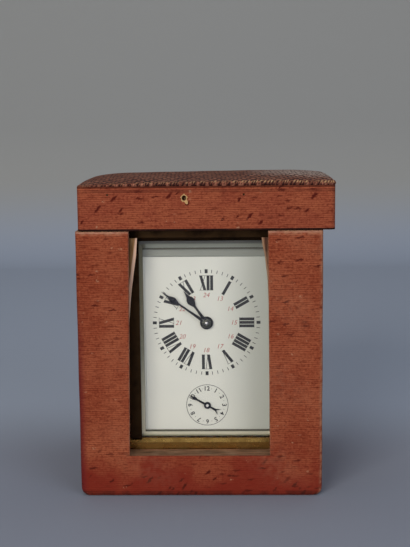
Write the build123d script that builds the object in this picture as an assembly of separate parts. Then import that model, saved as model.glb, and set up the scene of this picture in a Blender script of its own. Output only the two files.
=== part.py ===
"""Pendulette: a small alarm carriage clock standing in its leather travelling case.

Frame: origin at the centre of the travelling case's underside, +X to the right of the
dial's reader, +Y to the back, +Z up; the dial faces -Y. All lengths are in millimetres.
"""
import math
import os

from build123d import (Align, Axis, Box, Compound, Cylinder, Face, Plane, Polyline, Pos,
                       Rot, Vector, Wire, export_step, extrude, fillet, loft, make_face,
                       revolve)

# Travelling case sizes.
CASE_W, CASE_D, CASE_H = 108.0, 96.0, 119.0
LEATHER = 1.2            # cover skin
BOARD = 5.0              # side and back boards
JAMB_T = 2.0             # thin boards each side of the window
FLOOR_T = 6.0            # bottom board
LINING = 2.0             # padded lining sheet
EDGE_R = 3.5             # rounded bottom edges
CORNER_R = 2.2           # rounded upright corners
SKIN_LIFT = 0.4          # cover stops this far above the underside
SILL_TOP = 18.3
SILL_DEPTH = 10.7
SILL_BACK = SILL_DEPTH - CASE_D / 2
# The window's side edges, top and low, as shares of the case's half width.
WINDOW_SHARES = {"left": (-0.565, -0.591), "right": (0.556, 0.569)}
GROOVE = 1.9             # slot of the missing front shutter
SLAT_T = 1.4
SLAT_DROP, LINING_DROP = 3.5, 2.0
SLAT_TOP, LINING_TOP = CASE_H - SLAT_DROP, CASE_H - LINING_DROP
# Inner edges of the two bowed guide slats: shares of half width and of height.
LEFT_SLAT_SHARES = ((-0.506, 0.964), (-0.515, 0.908), (-0.539, 0.834), (-0.557, 0.777),
                    (-0.570, 0.721), (-0.580, 0.664), (-0.593, 0.504), (-0.598, 0.336))
RIGHT_SLAT_SHARES = ((0.506, 0.969), (0.513, 0.942), (0.530, 0.905), (0.543, 0.856),
                     (0.554, 0.812), (0.559, 0.756), (0.572, 0.588), (0.582, 0.336))

BAR_SIDES, KNUCKLE_SIDES, DISC_SIDES = 12, 16, 30   # flats of slim and of small round parts

# Lid.
LID_INSET, LID_OVERHANG = 1.4, 4.9   # the worn lid sits to the right of the case
RIM_GAP, LID_H = 0.3, 20.4
LID_LEFT, LID_RIGHT = LID_INSET - CASE_W / 2, CASE_W / 2 + LID_OVERHANG
LID_LOW = CASE_H + RIM_GAP
LID_EDGE_TOP = LID_LOW + LID_H
LID_DOME = 1.9           # rise of the top's middle over its edges
DOME_FLATS = 13          # flats across the padded top
LID_TOP_T = 4.0
# Hole of the lost clasp and two nail holes: X, drop under the lid's top edge, radius.
LID_HOLES = ((-6.2, 6.4, 1.1), (-39.3, 4.8, 0.5), (19.5, 5.0, 0.5))
HOLE_DEPTH = 3.0

# Lid hinges.
HINGE_OUT = 2.0
PIVOT_Y, PIVOT_Z = CASE_D / 2 + HINGE_OUT, CASE_H + RIM_GAP / 2
HINGE_X = (-30.0, 34.0)
KNUCKLE_R, HINGE_PIN_R, HINGE_GAP = 1.8, 0.7, 0.05
KNUCKLE_END, KNUCKLE_MID, KNUCKLE_GAP = 5.0, 6.0, 0.15
LEAF_T, LEAF_H, LEAF_SETBACK = 0.9, 11.0, 1.85

# Clock case of gilt brass.
CLOCK_X = 2.65           # the clock stands right of the case's middle
SIDE_ROOM, FRONT_ROOM, BACK_ROOM = 5.8, 0.4, 4.9     # room round the base in the case
CLOCK_LOW = FLOOR_T + LINING
BASE_HALF_X = CASE_W / 2 - LEATHER - BOARD - LINING - SIDE_ROOM
BASE_FRONT = SILL_BACK + FRONT_ROOM
BASE_BACK = CASE_D / 2 - LEATHER - BOARD - LINING - BACK_ROOM
PLINTH_H, COVE_H, BAND_H, BEVEL_H = 4.5, 4.5, 4.3, 1.7
PLINTH_TOP = CLOCK_LOW + PLINTH_H
COVE_TOP = PLINTH_TOP + COVE_H
BAND_TOP = COVE_TOP + BAND_H
BASE_TOP = BAND_TOP + BEVEL_H
COVE_IN, BAND_IN, BEVEL_IN = 2.6, 0.5, 1.8
POCKET_SIDE, POCKET_END, BASE_FLOOR_T = 4.5, 2.4, 4.0
CORNICE_DROP, CORNICE_COVE_H, CORNICE_BAND_H, CORNICE_CAP_H = 5.8, 1.8, 4.0, 2.6
CORNICE_LOW = CASE_H - CORNICE_DROP
CORNICE_BAND = CORNICE_LOW + CORNICE_COVE_H
CORNICE_CAP = CORNICE_BAND + CORNICE_BAND_H
CORNICE_TOP = CORNICE_CAP + CORNICE_CAP_H
CORNICE_FLARE, CAP_IN = 1.4, 2.2
PILLAR_W, PILLAR_SIDE_SET, PILLAR_SET = 5.0, 5.15, 1.2
PILLAR_OUT = BASE_HALF_X - PILLAR_SIDE_SET
PILLAR_FRONT, PILLAR_BACK = BASE_FRONT + PILLAR_SET, BASE_BACK - PILLAR_SET
GLASS_T, GLASS_EDGE, BEVEL_W, GLASS_TUCK = 1.8, 1.0, 3.0, 0.8
GLASS_SETBACK = 0.3      # bevelled face behind the pillars' faces
TOP_GLASS_SIDE, TOP_GLASS_END = 13.0, 11.9
TOP_GLASS_X = BASE_HALF_X - TOP_GLASS_SIDE
TOP_GLASS_Y = (BASE_BACK - BASE_FRONT) / 2 - TOP_GLASS_END
TOP_GLASS_SEAT = CORNICE_TOP - GLASS_T
TOP_LIGHT_IN = 1.6       # ledge under the top glass
DOOR_GAP, DOOR_BAR, DOOR_T, DOOR_SET = 0.25, 4.6, 3.0, 3.5
DOOR_FRONT = PILLAR_BACK - DOOR_SET
DOOR_PIN_R, DOOR_PIN_L, DOOR_PIN_IN = 0.8, 1.4, 1.8
KNOB_R, KNOB_L = 2.2, 3.2

# Bail handle.
BAIL_ROD_R, BAIL_SIDE_SET, BAIL_END_SET, BAIL_LIFT = 1.7, 7.5, 8.9, 3.6
BAIL_HALF = BASE_HALF_X - BAIL_SIDE_SET
BAIL_REACH = (BASE_BACK - BASE_FRONT) / 2 - BAIL_END_SET
BAIL_Y, BAIL_Z = (BASE_FRONT + BASE_BACK) / 2, CORNICE_TOP + BAIL_LIFT
BAIL_CORNER_R = 7.0
POST_R, POST_INNER_GAP, POST_W, PIVOT_GAP = 2.6, 0.3, 3.0, 0.05
TRUNNION_R = 1.0

# The works' own room.
# Dial, hands, movement and bell are drawn for this room between the pillars, and are
# made smaller as one where a smaller case leaves less.
ROOM_HALF_X, ROOM_H, ROOM_D = 29.7, 90.0, 63.6
ROOM_FRONT, ROOM_LOW = -33.6, 23.0
GLASS_BACK = PILLAR_FRONT + GLASS_SETBACK + GLASS_T
WORKS_SCALE = min(1, (PILLAR_OUT - PILLAR_W) / ROOM_HALF_X,
                  (CORNICE_LOW - BASE_TOP) / ROOM_H, (DOOR_FRONT - GLASS_BACK) / ROOM_D)
POCKET_TOP = BASE_TOP - BASE_FLOOR_T * WORKS_SCALE

# Dial and hands.
DIAL_Z, ALARM_Z = 75.6, 37.2
DIAL_HALF, DIAL_LOW, DIAL_HIGH = 29.2, 24.6, 107.0
DIAL_FRONT, DIAL_T = -30.4, 1.4
DIAL_HOLE_R, ALARM_HOLE_R = 2.6, 1.2
FOOT_R = 0.8             # half width of the square feet
DIAL_FEET = ((-20.0, 30.0), (20.0, 30.0), (-23.0, 82.0), (23.0, 82.0))
HAND_T = 0.35
HOUR_HAND_Y, MINUTE_HAND_Y, ALARM_HAND_Y = -31.35, -32.35, -31.3
HOUR_ANGLE, MINUTE_ANGLE, ALARM_ANGLE = 325.0, 305.5, 300.0
HOUR_LENGTH, MINUTE_LENGTH, ALARM_LENGTH, ALARM_TAIL = 18.0, 25.0, 9.4, 6.3
# Half widths of the hands against the share of the length, from boss to tip.
HOUR_SHARES = ((0.10, 0.75), (0.40, 0.45), (0.52, 0.55), (0.60, 1.30), (0.67, 1.85),
               (0.74, 1.60), (0.82, 0.65), (0.90, 0.35))
MINUTE_SHARES = ((0.08, 0.70), (0.40, 0.42), (0.62, 0.38), (0.68, 0.95), (0.73, 1.35),
                 (0.78, 1.10), (0.84, 0.45), (0.92, 0.28))
ALARM_SHARES = ((0.15, 0.45), (0.60, 0.38), (0.70, 0.75), (0.80, 0.50))
TAIL_SHARES = ((0.25, 0.35), (0.70, 0.55), (1.00, 1.50))
TAIL_NOTCH_SHARE = 0.72
HOUR_BOSS_R, MINUTE_BOSS_R, ALARM_BOSS_R = 2.95, 2.3, 1.6

# Movement frame.
PLATE_HALF, PLATE_TOP, PLATE_T = 28.0, 89.0, 2.2
FRONT_PLATE, BACK_PLATE = -20.5, 8.0
PLATE_PILLARS = ((-24.5, 28.0), (14.0, 27.0), (-24.5, 84.5), (25.0, 84.5))
PLATE_PILLAR_R = 2.0
RUN_GAP = 0.05           # running clearance of arbors in their holes
ARBOR_R, THIN_ARBOR_R, FINE_ARBOR_R = 0.8, 0.6, 0.35
STUD_R = 0.7
REAR_SQUARE_END = 17.0
SQUARE_HALF = 0.9

# Gears (teeth and module).
TOOTH_ADD, WHEEL_DED, PINION_DED = 0.6, 1.0, 1.1
PINION_SHARES = (0.45, 0.20)     # leaf width at root and tip as shares of the pitch
MOTION_MODULE = 0.48
CANNON_N, MINUTE_N, MINUTE_PINION_N = 10, 30, 8
HOUR_N, IDLER_N, ALARM_N = 32, 48, 32
BARREL_N, BARREL_MODULE, CENTRE_PINION_N = 48, 0.7, 8
CENTRE_N, CENTRE_MODULE, THIRD_PINION_N = 48, 0.5, 6
THIRD_N, THIRD_MODULE, CONTRATE_PINION_N = 45, 0.4, 6
CONTRATE_N, CONTRATE_MODULE, ESCAPE_PINION_N = 48, 0.3, 6
ESCAPE_N, ESCAPE_R = 15, 4.5
MINUTE_BEARING, BARREL_BEARING, THIRD_BEARING, CONTRATE_BEARING = 180.0, 235.9, -31.6, 75.0

# Levels along Y (front, back) of the parts between dial and back plate.
HOUR_WHEEL_Y = (-25.2, -24.4)
MINUTE_PINION_Y = (-25.6, -23.2)
MINUTE_WHEEL_Y = (-23.2, -22.4)
CANNON_Y = (-23.6, -21.4)
HOUR_PIPE_FRONT, CANNON_FRONT, CENTRE_FRONT = -31.7, -32.6, -33.0
HOUR_PIPE_R, CANNON_PIPE_R = 2.1, 1.25
CENTRE_WHEEL_Y = (-17.3, -16.5)
THIRD_PINION_Y = (-17.9, -15.8)
THIRD_WHEEL_Y = (-14.6, -13.9)
CONTRATE_PINION_Y = (-15.2, -13.2)
CENTRE_PINION_Y = (-12.0, -8.8)
BARREL_TOOTH_Y = (-11.2, -9.6)
BARREL_DRUM_Y = (-9.6, 5.0)
BARREL_DRUM_R, BARREL_WALL = 15.3, 1.2
CONTRATE_WHEEL_Y = (-4.0, -3.2)
CONTRATE_TOOTH_END = -1.8
CONTRATE_TOOTH_W, CONTRATE_TOOTH_SHARE = 1.4, 0.30
ESCAPE_AXIS_Y = -1.17
SPRING_TURNS, SPRING_SIDES, SPRING_T = 5, 14, 0.5
SPRING_IN_R, SPRING_OUT_R = 3.2, 13.4
CORE_R = 2.6
RATCHET_Y = (10.6, 12.0)
RATCHET_N = 16
RATCHET_TIP, RATCHET_ROOT = 6.0, 5.0
CLICK_PIVOT = (6.2, 8.4)         # from the barrel's axis
CLICK_TOOTH = 4
CLICK_R, CLICK_CLEAR, CLICK_NOSE, CLICK_W = 1.6, 0.12, 1.3, 0.8

# Alarm.
ALARM_DRUM = (14.0, 42.0)
ALARM_DRUM_R, ALARM_DRUM_Y = 9.0, (-8.0, 4.0)
VERGE_N, VERGE_H, VERGE_TOOTH_W, VERGE_SHARE = 13, 1.6, 1.2, 0.35
HAMMER_PIVOT = (25.3, 31.0)
HAMMER_ARM_R, HAMMER_HEAD_R, HAMMER_HEAD_L, HAMMER_Z = 0.6, 1.7, 4.0, 13.6
HAMMER_TAIL = 4.6
HAMMER_TAIL_ANGLE = 135.0
BELL_R, BELL_T, BELL_LOW, BELL_TOP, BELL_SHOULDER = 22.0, 1.2, 10.2, 17.4, 5.0
BELL_GAP, BELL_Y = 0.35, -1.0
BELL_POST_R, BELL_NUT_R, BELL_NUT_H = 1.3, 2.4, 1.0
HAMMER_SLOT_X, HAMMER_SLOT_Y = (22.5, 33.0), 3.0

# Platform escapement.
PLATFORM_X, PLATFORM_T = (-18.0, 22.0), 2.0
ESCAPE_X, LEVER_X, BALANCE_X = 14.14, 8.2, 0.6
ESCAPE_PINION_Z, ESCAPE_FOOT_Z = (84.4, 86.8), (81.9, 83.2)
ESCAPE_WHEEL_Z, ESCAPE_TOP_Z = (93.0, 93.5), 95.2
ESCAPE_ROOT_R = 3.5
ESCAPE_SHARES = (0.34, 0.10)
LEVER_Z = (92.9, 93.6)
PALLET_ANGLE, PALLET_CLEAR, PALLET_W, PALLET_L = 36.0, 0.12, 0.35, 1.1
LEVER_ARM_W, FORK_L, FORK_W, NOTCH_W, NOTCH_L = 0.8, 4.6, 1.6, 0.6, 0.9
BRIDGE_Z, BRIDGE_T = 94.8, 1.0
BALANCE_Z, BALANCE_R, BALANCE_RIM, BALANCE_ARM = (96.3, 97.1), 8.5, 1.0, 1.2
ROLLER_Z, ROLLER_R = (92.9, 93.5), 1.1
COCK_RISE, COCK_T, COCK_HALF, COCK_POST_Y = 3.3, 1.6, 2.4, (-18.5, -12.5)
COCK_Z = BALANCE_Z[1] + COCK_RISE
STAFF_END, HAIRSPRING_DROP, HAIRSPRING_H = 0.8, 1.7, 0.4
STAFF_TOP = COCK_Z + STAFF_END
HAIRSPRING_Z = (COCK_Z - HAIRSPRING_DROP, COCK_Z - HAIRSPRING_DROP + HAIRSPRING_H)
HAIR_TURNS, HAIR_SIDES, HAIR_T, HAIR_IN_R, HAIR_OUT_R = 5, 12, 0.14, 1.3, 4.8


def span(x, y, z):
    """A box from three (low, high) pairs."""
    size = Box(x[1] - x[0], y[1] - y[0], z[1] - z[0], align=(Align.MIN,) * 3)
    return Pos(x[0], y[0], z[0]) * size


def rod(axis, a, b, radius, lo, hi):
    """A round bar along an axis, at (a, b) on the other two axes in X, Y, Z order."""
    bar = Cylinder(radius, hi - lo, align=(Align.CENTER, Align.CENTER, Align.MIN))
    if axis == "X":
        return Pos(lo, a, b) * Rot(0, 90, 0) * bar
    if axis == "Y":
        return Pos(a, lo, b) * Rot(-90, 0, 0) * bar
    return Pos(a, b, lo) * bar


def bar(axis, a, b, radius, lo, hi, sides=0):
    """A slim round bar drawn with a few flat sides, its corners at the radius."""
    points = gear_points(sides or BAR_SIDES, radius, radius, (0, 0), (a, b), 0)[::4]
    if axis == "X":
        return prism_x(points, lo, hi)
    return prism_y(points, lo, hi) if axis == "Y" else prism_z(points, lo, hi)


def bore(axis, a, b, radius, lo, hi):
    """A round hole drawn with a few flat sides that all clear the radius."""
    return bar(axis, a, b, radius / math.cos(math.pi / BAR_SIDES), lo, hi)


def prism_y(points, lo, hi):
    """A flat-sided bar along Y from (x, z) points."""
    wire = Wire.make_polygon([Vector(x, lo, z) for x, z in points], close=True)
    return extrude(Face(wire), amount=hi - lo, dir=(0, 1, 0))


def prism_z(points, lo, hi):
    """A flat-sided bar along Z from (x, y) points."""
    wire = Wire.make_polygon([Vector(x, y, lo) for x, y in points], close=True)
    return extrude(Face(wire), amount=hi - lo, dir=(0, 0, 1))


def prism_x(points, lo, hi):
    """A flat-sided bar along X from (y, z) points."""
    wire = Wire.make_polygon([Vector(lo, y, z) for y, z in points], close=True)
    return extrude(Face(wire), amount=hi - lo, dir=(1, 0, 0))


def polar(radius, degrees, centre=(0, 0)):
    """A point at a radius and an angle round a centre."""
    a = math.radians(degrees)
    return (centre[0] + radius * math.cos(a), centre[1] + radius * math.sin(a))


def gear_points(teeth, root, tip, shares, centre, phase):
    """Outline of a toothed wheel with straight-flanked teeth, one tooth at phase."""
    points, pitch = [], 360 / teeth
    for i in range(teeth):
        mid = phase + i * pitch
        points.append(polar(root, mid - shares[0] * pitch / 2, centre))
        points.append(polar(tip, mid - shares[1] * pitch / 2, centre))
        points.append(polar(tip, mid + shares[1] * pitch / 2, centre))
        points.append(polar(root, mid + shares[0] * pitch / 2, centre))
    return points


def saw_points(teeth, root, tip, centre, phase):
    """Outline of pointed teeth, one tip at phase, two points to a tooth."""
    points, pitch = [], 360 / teeth
    for i in range(teeth):
        points.append(polar(root, phase + (i - 1 / 2) * pitch, centre))
        points.append(polar(tip, phase + i * pitch, centre))
    return points


def wheel_outline(teeth, module, centre, phase):
    """Outline of a wheel's teeth, pointed as a clock wheel's nearly are."""
    r = teeth * module / 2
    return saw_points(teeth, r - WHEEL_DED * module, r + TOOTH_ADD * module, centre, phase)


def pinion_outline(teeth, module, centre, phase):
    """Outline of a pinion's leaves."""
    r = teeth * module / 2
    return gear_points(teeth, r - PINION_DED * module, r + TOOTH_ADD * module,
                       PINION_SHARES, centre, phase)


def at_clock(x):
    """Row X of a place given from the clock's middle."""
    return CLOCK_X + x


def fit(shape):
    """A piece of the works, scaled and moved from its own room into the clock's case."""
    held = shape.location.position * (1 - WORKS_SCALE)
    move = (Vector(CLOCK_X, GLASS_BACK, BASE_TOP) - held
            - Vector(CLOCK_X, ROOM_FRONT, ROOM_LOW) * WORKS_SCALE)
    return Pos(move.X, move.Y, move.Z) * shape.scale(WORKS_SCALE)


def mesh_centre(start, teeth_a, teeth_b, module, bearing):
    """Centre of a wheel in mesh with another, at a bearing from it."""
    return polar((teeth_a + teeth_b) * module / 2, bearing, start)


# Travelling case.
def block(shrink, top):
    """The case's outer shape, shrunk on all sides, with rounded corners and low edges."""
    w, d = CASE_W - 2 * shrink, CASE_D - 2 * shrink
    body = None
    for along, radius in ((Axis.Z, CORNER_R), (Axis.Y, EDGE_R), (Axis.X, CORNER_R)):
        slab = span((-w / 2, w / 2), (-d / 2, d / 2), (0, top))
        edges = slab.edges().filter_by(along)
        if along != Axis.Z:
            edges = edges.group_by(Axis.Z)[0]
        slab = fillet(edges, radius - shrink)
        body = slab if body is None else body & slab
    return body


def window_points(grow):
    """The open front window as (x, z), grown sideways and downwards."""
    half, above = CASE_W / 2, CASE_H + BOARD
    left_top, left_low = (s * half - grow for s in WINDOW_SHARES["left"])
    right_top, right_low = (s * half + grow for s in WINDOW_SHARES["right"])
    return ((left_low, SILL_TOP - grow), (right_low, SILL_TOP - grow),
            (right_top, above), (left_top, above))


def inner_x():
    """Half width inside the side boards."""
    return CASE_W / 2 - LEATHER - BOARD


def inner_back():
    """Y of the back board's inner face."""
    return CASE_D / 2 - LEATHER - BOARD


def front_board_back():
    """Y of the back face of the thin front boards."""
    return -CASE_D / 2 + LEATHER + JAMB_T


def wood_core():
    """Everything inside the leather cover."""
    return block(LEATHER, CASE_H)


def case_boards():
    """Bottom, left, right and back boards, two jamb boards and the front sill."""
    core, half, back = wood_core(), inner_x(), inner_back()
    far = CASE_W
    front = front_board_back()
    cut = {
        "case_bottom_board": span((-half, half), (front, far), (0, FLOOR_T)),
        "case_left_board": span((-far, -half), (front, far), (0, CASE_H)),
        "case_right_board": span((half, far), (front, far), (0, CASE_H)),
        "case_back_board": span((-half, half), (back, far), (FLOOR_T, CASE_H)),
    }
    out = {name: core & shape for name, shape in cut.items()}
    window = window_points(LEATHER)
    left = ((-far, SILL_TOP), (window[0][0], SILL_TOP), window[3], (-far, CASE_H + BOARD))
    right = ((far, SILL_TOP), (window[1][0], SILL_TOP), window[2], (far, CASE_H + BOARD))
    out["case_left_jamb"] = core & prism_y(left, -far, front)
    out["case_right_jamb"] = core & prism_y(right, -far, front)
    plank = core & span((-far, far), (-far, front), (0, SILL_TOP))
    sill = span((-half, half), (front, SILL_BACK), (FLOOR_T, SILL_TOP))
    out["case_front_sill"] = plank + sill
    return out


def case_cover():
    """The ribbed leather skin with its edges folded into the window."""
    skin = block(0, CASE_H) - wood_core()
    skin -= span((-CASE_W, CASE_W), (-CASE_D, CASE_D), (-CASE_H, SKIN_LIFT))
    front = front_board_back()
    folded = prism_y(window_points(LEATHER), -CASE_D / 2 + LEATHER, front)
    folded &= span((-CASE_W, CASE_W), (-CASE_D, CASE_D), (SILL_TOP, CASE_H))
    skin += folded
    return skin - prism_y(window_points(0), -CASE_D, front + LEATHER)


def slat(shares, side):
    """A bowed guide slat from the side board to its inner edge."""
    y = front_board_back() + GROOVE
    outer = side * inner_x()
    edge = [(x * CASE_W / 2, z * CASE_H) for x, z in shares]
    points = [(outer, SLAT_TOP), (edge[0][0], SLAT_TOP), *edge, (edge[-1][0], SILL_TOP),
              (outer, SILL_TOP)]
    return prism_y(points, y, y + SLAT_T)


def case_lining():
    """One folded sheet that lines the floor, the sides and the back."""
    half, back = inner_x(), inner_back()
    block_out = span((-half, half), (SILL_BACK, back), (FLOOR_T, LINING_TOP))
    room = span((LINING - half, half - LINING), (SILL_BACK, back - LINING),
                (FLOOR_T + LINING, LINING_TOP))
    return block_out - room


# Lid.
def lid_box(shrink, low, high):
    """The lid's plan shape, shrunk on all sides."""
    body = span((LID_LEFT + shrink, LID_RIGHT - shrink),
                (shrink - CASE_D / 2, CASE_D / 2 - shrink), (low, high))
    return fillet(body.edges().filter_by(Axis.Z), CORNER_R - shrink)


def pillow(drop):
    """Everything under the lid's softly padded top, lowered by a drop."""
    middle = (LID_LEFT + LID_RIGHT) / 2
    top, floor = LID_EDGE_TOP + LID_DOME, LID_LOW - BOARD * 2
    rolls = []
    for half, centre in (((LID_RIGHT - LID_LEFT) / 2, middle), (CASE_D / 2, 0)):
        radius = (half ** 2 + LID_DOME ** 2) / (2 * LID_DOME)
        sweep = math.asin((half + BOARD) / radius)
        arc = []
        for k in range(DOME_FLATS + 1):
            a = sweep * (2 * k / DOME_FLATS - 1)
            arc.append((centre + (radius - drop) * math.sin(a),
                        top - radius + (radius - drop) * math.cos(a)))
        rolls.append([(arc[0][0], floor), *arc, (arc[-1][0], floor)])
    return prism_y(rolls[0], -CASE_D, CASE_D) & prism_x(rolls[1], -CASE_W, CASE_W)


def lid_parts():
    """Frame, padded top board, two leathers and the ceiling's pad."""
    board_low = LID_EDGE_TOP - LEATHER - LID_TOP_T
    middle = LID_EDGE_TOP + LID_DOME
    room_x = (LID_LEFT + LEATHER + BOARD, LID_RIGHT - LEATHER - BOARD)
    room_y = (LEATHER + BOARD - CASE_D / 2, CASE_D / 2 - LEATHER - BOARD)
    ring = lid_box(LEATHER, LID_LOW, board_low)
    ring -= span(room_x, room_y, (LID_LOW - BOARD, board_low + BOARD))
    under, core = pillow(LEATHER), lid_box(LEATHER, LID_LOW - BOARD, middle)
    board = lid_box(LEATHER, board_low, middle) & under
    cap = (lid_box(0, board_low, middle) & pillow(0)) - under
    band = (lid_box(0, LID_LOW, middle) & under) - core
    front = -CASE_D / 2
    for x, drop, r in LID_HOLES:
        hole = bar("Y", x, LID_EDGE_TOP - drop, r, front - BOARD, front + HOLE_DEPTH)
        band -= hole
        ring -= hole
    pad = span(room_x, room_y, (board_low - LINING, board_low))
    return {"lid_frame": ring, "lid_top_board": board, "lid_leather_band": band,
            "lid_top_leather": cap, "lid_pad": pad}


def hinge_knuckles(x, case_side):
    """Knuckles of one hinge half with the webs to its leaf."""
    back, reach = CASE_D / 2, KNUCKLE_MID / 2
    if case_side:
        runs = ((x - reach - KNUCKLE_END, x - reach), (x + reach, x + reach + KNUCKLE_END))
        web_z = (PIVOT_Z - LEAF_SETBACK, PIVOT_Z)
    else:
        runs = ((x - reach + KNUCKLE_GAP, x + reach - KNUCKLE_GAP),)
        web_z = (PIVOT_Z, PIVOT_Z + LEAF_SETBACK)
    out = None
    for lo, hi in runs:
        piece = bar("X", PIVOT_Y, PIVOT_Z, KNUCKLE_R, lo, hi, KNUCKLE_SIDES)
        piece += span((lo, hi), (back, PIVOT_Y), web_z)
        if case_side:
            piece -= rod("X", PIVOT_Y, PIVOT_Z, HINGE_PIN_R, lo, hi)
        else:
            piece -= bore("X", PIVOT_Y, PIVOT_Z, HINGE_PIN_R + HINGE_GAP, lo, hi)
        out = piece if out is None else out + piece
    return out


def hinge_half(x, case_side):
    """One leaf on the leather with its knuckles."""
    back = CASE_D / 2
    reach = KNUCKLE_MID / 2 + KNUCKLE_END
    if case_side:
        z = (PIVOT_Z - LEAF_SETBACK - LEAF_H, PIVOT_Z - LEAF_SETBACK)
    else:
        z = (PIVOT_Z + LEAF_SETBACK, PIVOT_Z + LEAF_SETBACK + LEAF_H)
    return span((x - reach, x + reach), (back, back + LEAF_T), z) + hinge_knuckles(x, case_side)


def hinge_halves(case_side):
    """Both hinges' halves; the case halves carry their pins as separate solids."""
    solids = []
    reach = KNUCKLE_MID / 2 + KNUCKLE_END
    for x in HINGE_X:
        solids.extend(hinge_half(x, case_side).solids())
        if case_side:
            solids.append(rod("X", PIVOT_Y, PIVOT_Z, HINGE_PIN_R, x - reach, x + reach))
    return solids


# Clock case.
def tier(inset, low, high):
    """One straight step of the base or the cornice."""
    half = BASE_HALF_X - inset
    return span((CLOCK_X - half, CLOCK_X + half), (BASE_FRONT + inset, BASE_BACK - inset),
                (low, high))


def taper(inset_low, inset_high, low, high):
    """One sloping step between two insets."""
    faces = []
    for inset, z in ((inset_low, low), (inset_high, high)):
        half = BASE_HALF_X - inset
        pts = [Vector(CLOCK_X - half, BASE_FRONT + inset, z),
               Vector(CLOCK_X + half, BASE_FRONT + inset, z),
               Vector(CLOCK_X + half, BASE_BACK - inset, z),
               Vector(CLOCK_X - half, BASE_BACK - inset, z)]
        faces.append(Face(Wire.make_polygon(pts, close=True)))
    return loft(faces)


def bevel_pane(axis, run, inner, outward):
    """A bevelled upright pane: a thin slab and a raised field inside its bevels."""
    z = (BASE_TOP - GLASS_TUCK, CORNICE_LOW + GLASS_TUCK)
    faces = []
    for depth, inset in ((GLASS_EDGE, 0), (GLASS_T, BEVEL_W)):
        w = inner + outward * depth
        a, b = run[0] + inset, run[1] - inset
        corners = ((a, z[0] + inset), (b, z[0] + inset), (b, z[1] - inset), (a, z[1] - inset))
        if axis == "Y":
            pts = [Vector(u, w, v) for u, v in corners]
        else:
            pts = [Vector(w, u, v) for u, v in corners]
        faces.append(Face(Wire.make_polygon(pts, close=True)))
    ends = sorted((inner, inner + outward * GLASS_EDGE))
    slab = span(run, ends, z) if axis == "Y" else span(ends, run, z)
    return slab + loft(faces)


def clock_panes():
    """Front pane and two equal side panes."""
    grip = PILLAR_OUT - PILLAR_W + GLASS_TUCK
    front_in = PILLAR_FRONT + GLASS_SETBACK + GLASS_T
    front = bevel_pane("Y", (CLOCK_X - grip, CLOCK_X + grip), front_in, -1)
    run = (PILLAR_FRONT + PILLAR_W - GLASS_TUCK, PILLAR_BACK - PILLAR_W + GLASS_TUCK)
    side_in = PILLAR_OUT - GLASS_SETBACK - GLASS_T
    left = bevel_pane("X", run, CLOCK_X - side_in, -1)
    right = bevel_pane("X", run, CLOCK_X + side_in, 1)
    return front, [left, right]


def top_pane():
    """The bevelled pane in the cornice."""
    low = span((CLOCK_X - TOP_GLASS_X, CLOCK_X + TOP_GLASS_X),
               (BAIL_Y - TOP_GLASS_Y, BAIL_Y + TOP_GLASS_Y),
               (TOP_GLASS_SEAT, TOP_GLASS_SEAT + GLASS_EDGE))
    faces = []
    for z, inset in ((TOP_GLASS_SEAT + GLASS_EDGE, 0), (TOP_GLASS_SEAT + GLASS_T, BEVEL_W)):
        x, y = TOP_GLASS_X - inset, TOP_GLASS_Y - inset
        pts = [Vector(CLOCK_X + u * x, BAIL_Y + v * y, z)
               for u, v in ((-1, -1), (1, -1), (1, 1), (-1, 1))]
        faces.append(Face(Wire.make_polygon(pts, close=True)))
    return low + loft(faces)


def pillar_spots():
    """Middles of the four pillars."""
    x = PILLAR_OUT - PILLAR_W / 2
    return [(CLOCK_X + s * x, y) for s in (-1, 1)
            for y in (PILLAR_FRONT + PILLAR_W / 2, PILLAR_BACK - PILLAR_W / 2)]


def door_pins():
    """Two pivots of the rear door, up into the cornice and down into the base."""
    x = CLOCK_X - (PILLAR_OUT - PILLAR_W) + DOOR_GAP + DOOR_PIN_IN
    y = DOOR_FRONT + DOOR_T / 2
    return ((x, y, BASE_TOP - DOOR_PIN_L, BASE_TOP + DOOR_GAP),
            (x, y, CORNICE_LOW - DOOR_GAP, CORNICE_LOW + DOOR_PIN_L))


def rear_door():
    """Door frame with pivots and knob, and its pane."""
    half = PILLAR_OUT - PILLAR_W - DOOR_GAP
    x = (CLOCK_X - half, CLOCK_X + half)
    z = (BASE_TOP + DOOR_GAP, CORNICE_LOW - DOOR_GAP)
    y = (DOOR_FRONT, DOOR_FRONT + DOOR_T)
    light_x = (x[0] + DOOR_BAR, x[1] - DOOR_BAR)
    light_z = (z[0] + DOOR_BAR, z[1] - DOOR_BAR)
    tuck = GLASS_TUCK
    pane = span((light_x[0] - tuck, light_x[1] + tuck),
                (y[0] + tuck, y[0] + tuck + GLASS_EDGE),
                (light_z[0] - tuck, light_z[1] + tuck))
    frame = span(x, y, z) - span(light_x, (y[0] - tuck, y[1] + tuck), light_z) - pane
    for px, py, lo, hi in door_pins():
        frame += bar("Z", px, py, DOOR_PIN_R, lo, hi)
    frame += bar("Y", x[1] - DOOR_BAR / 2, (z[0] + z[1]) / 2, KNOB_R, y[1], y[1] + KNOB_L,
                 KNUCKLE_SIDES)
    return frame, pane


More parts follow.
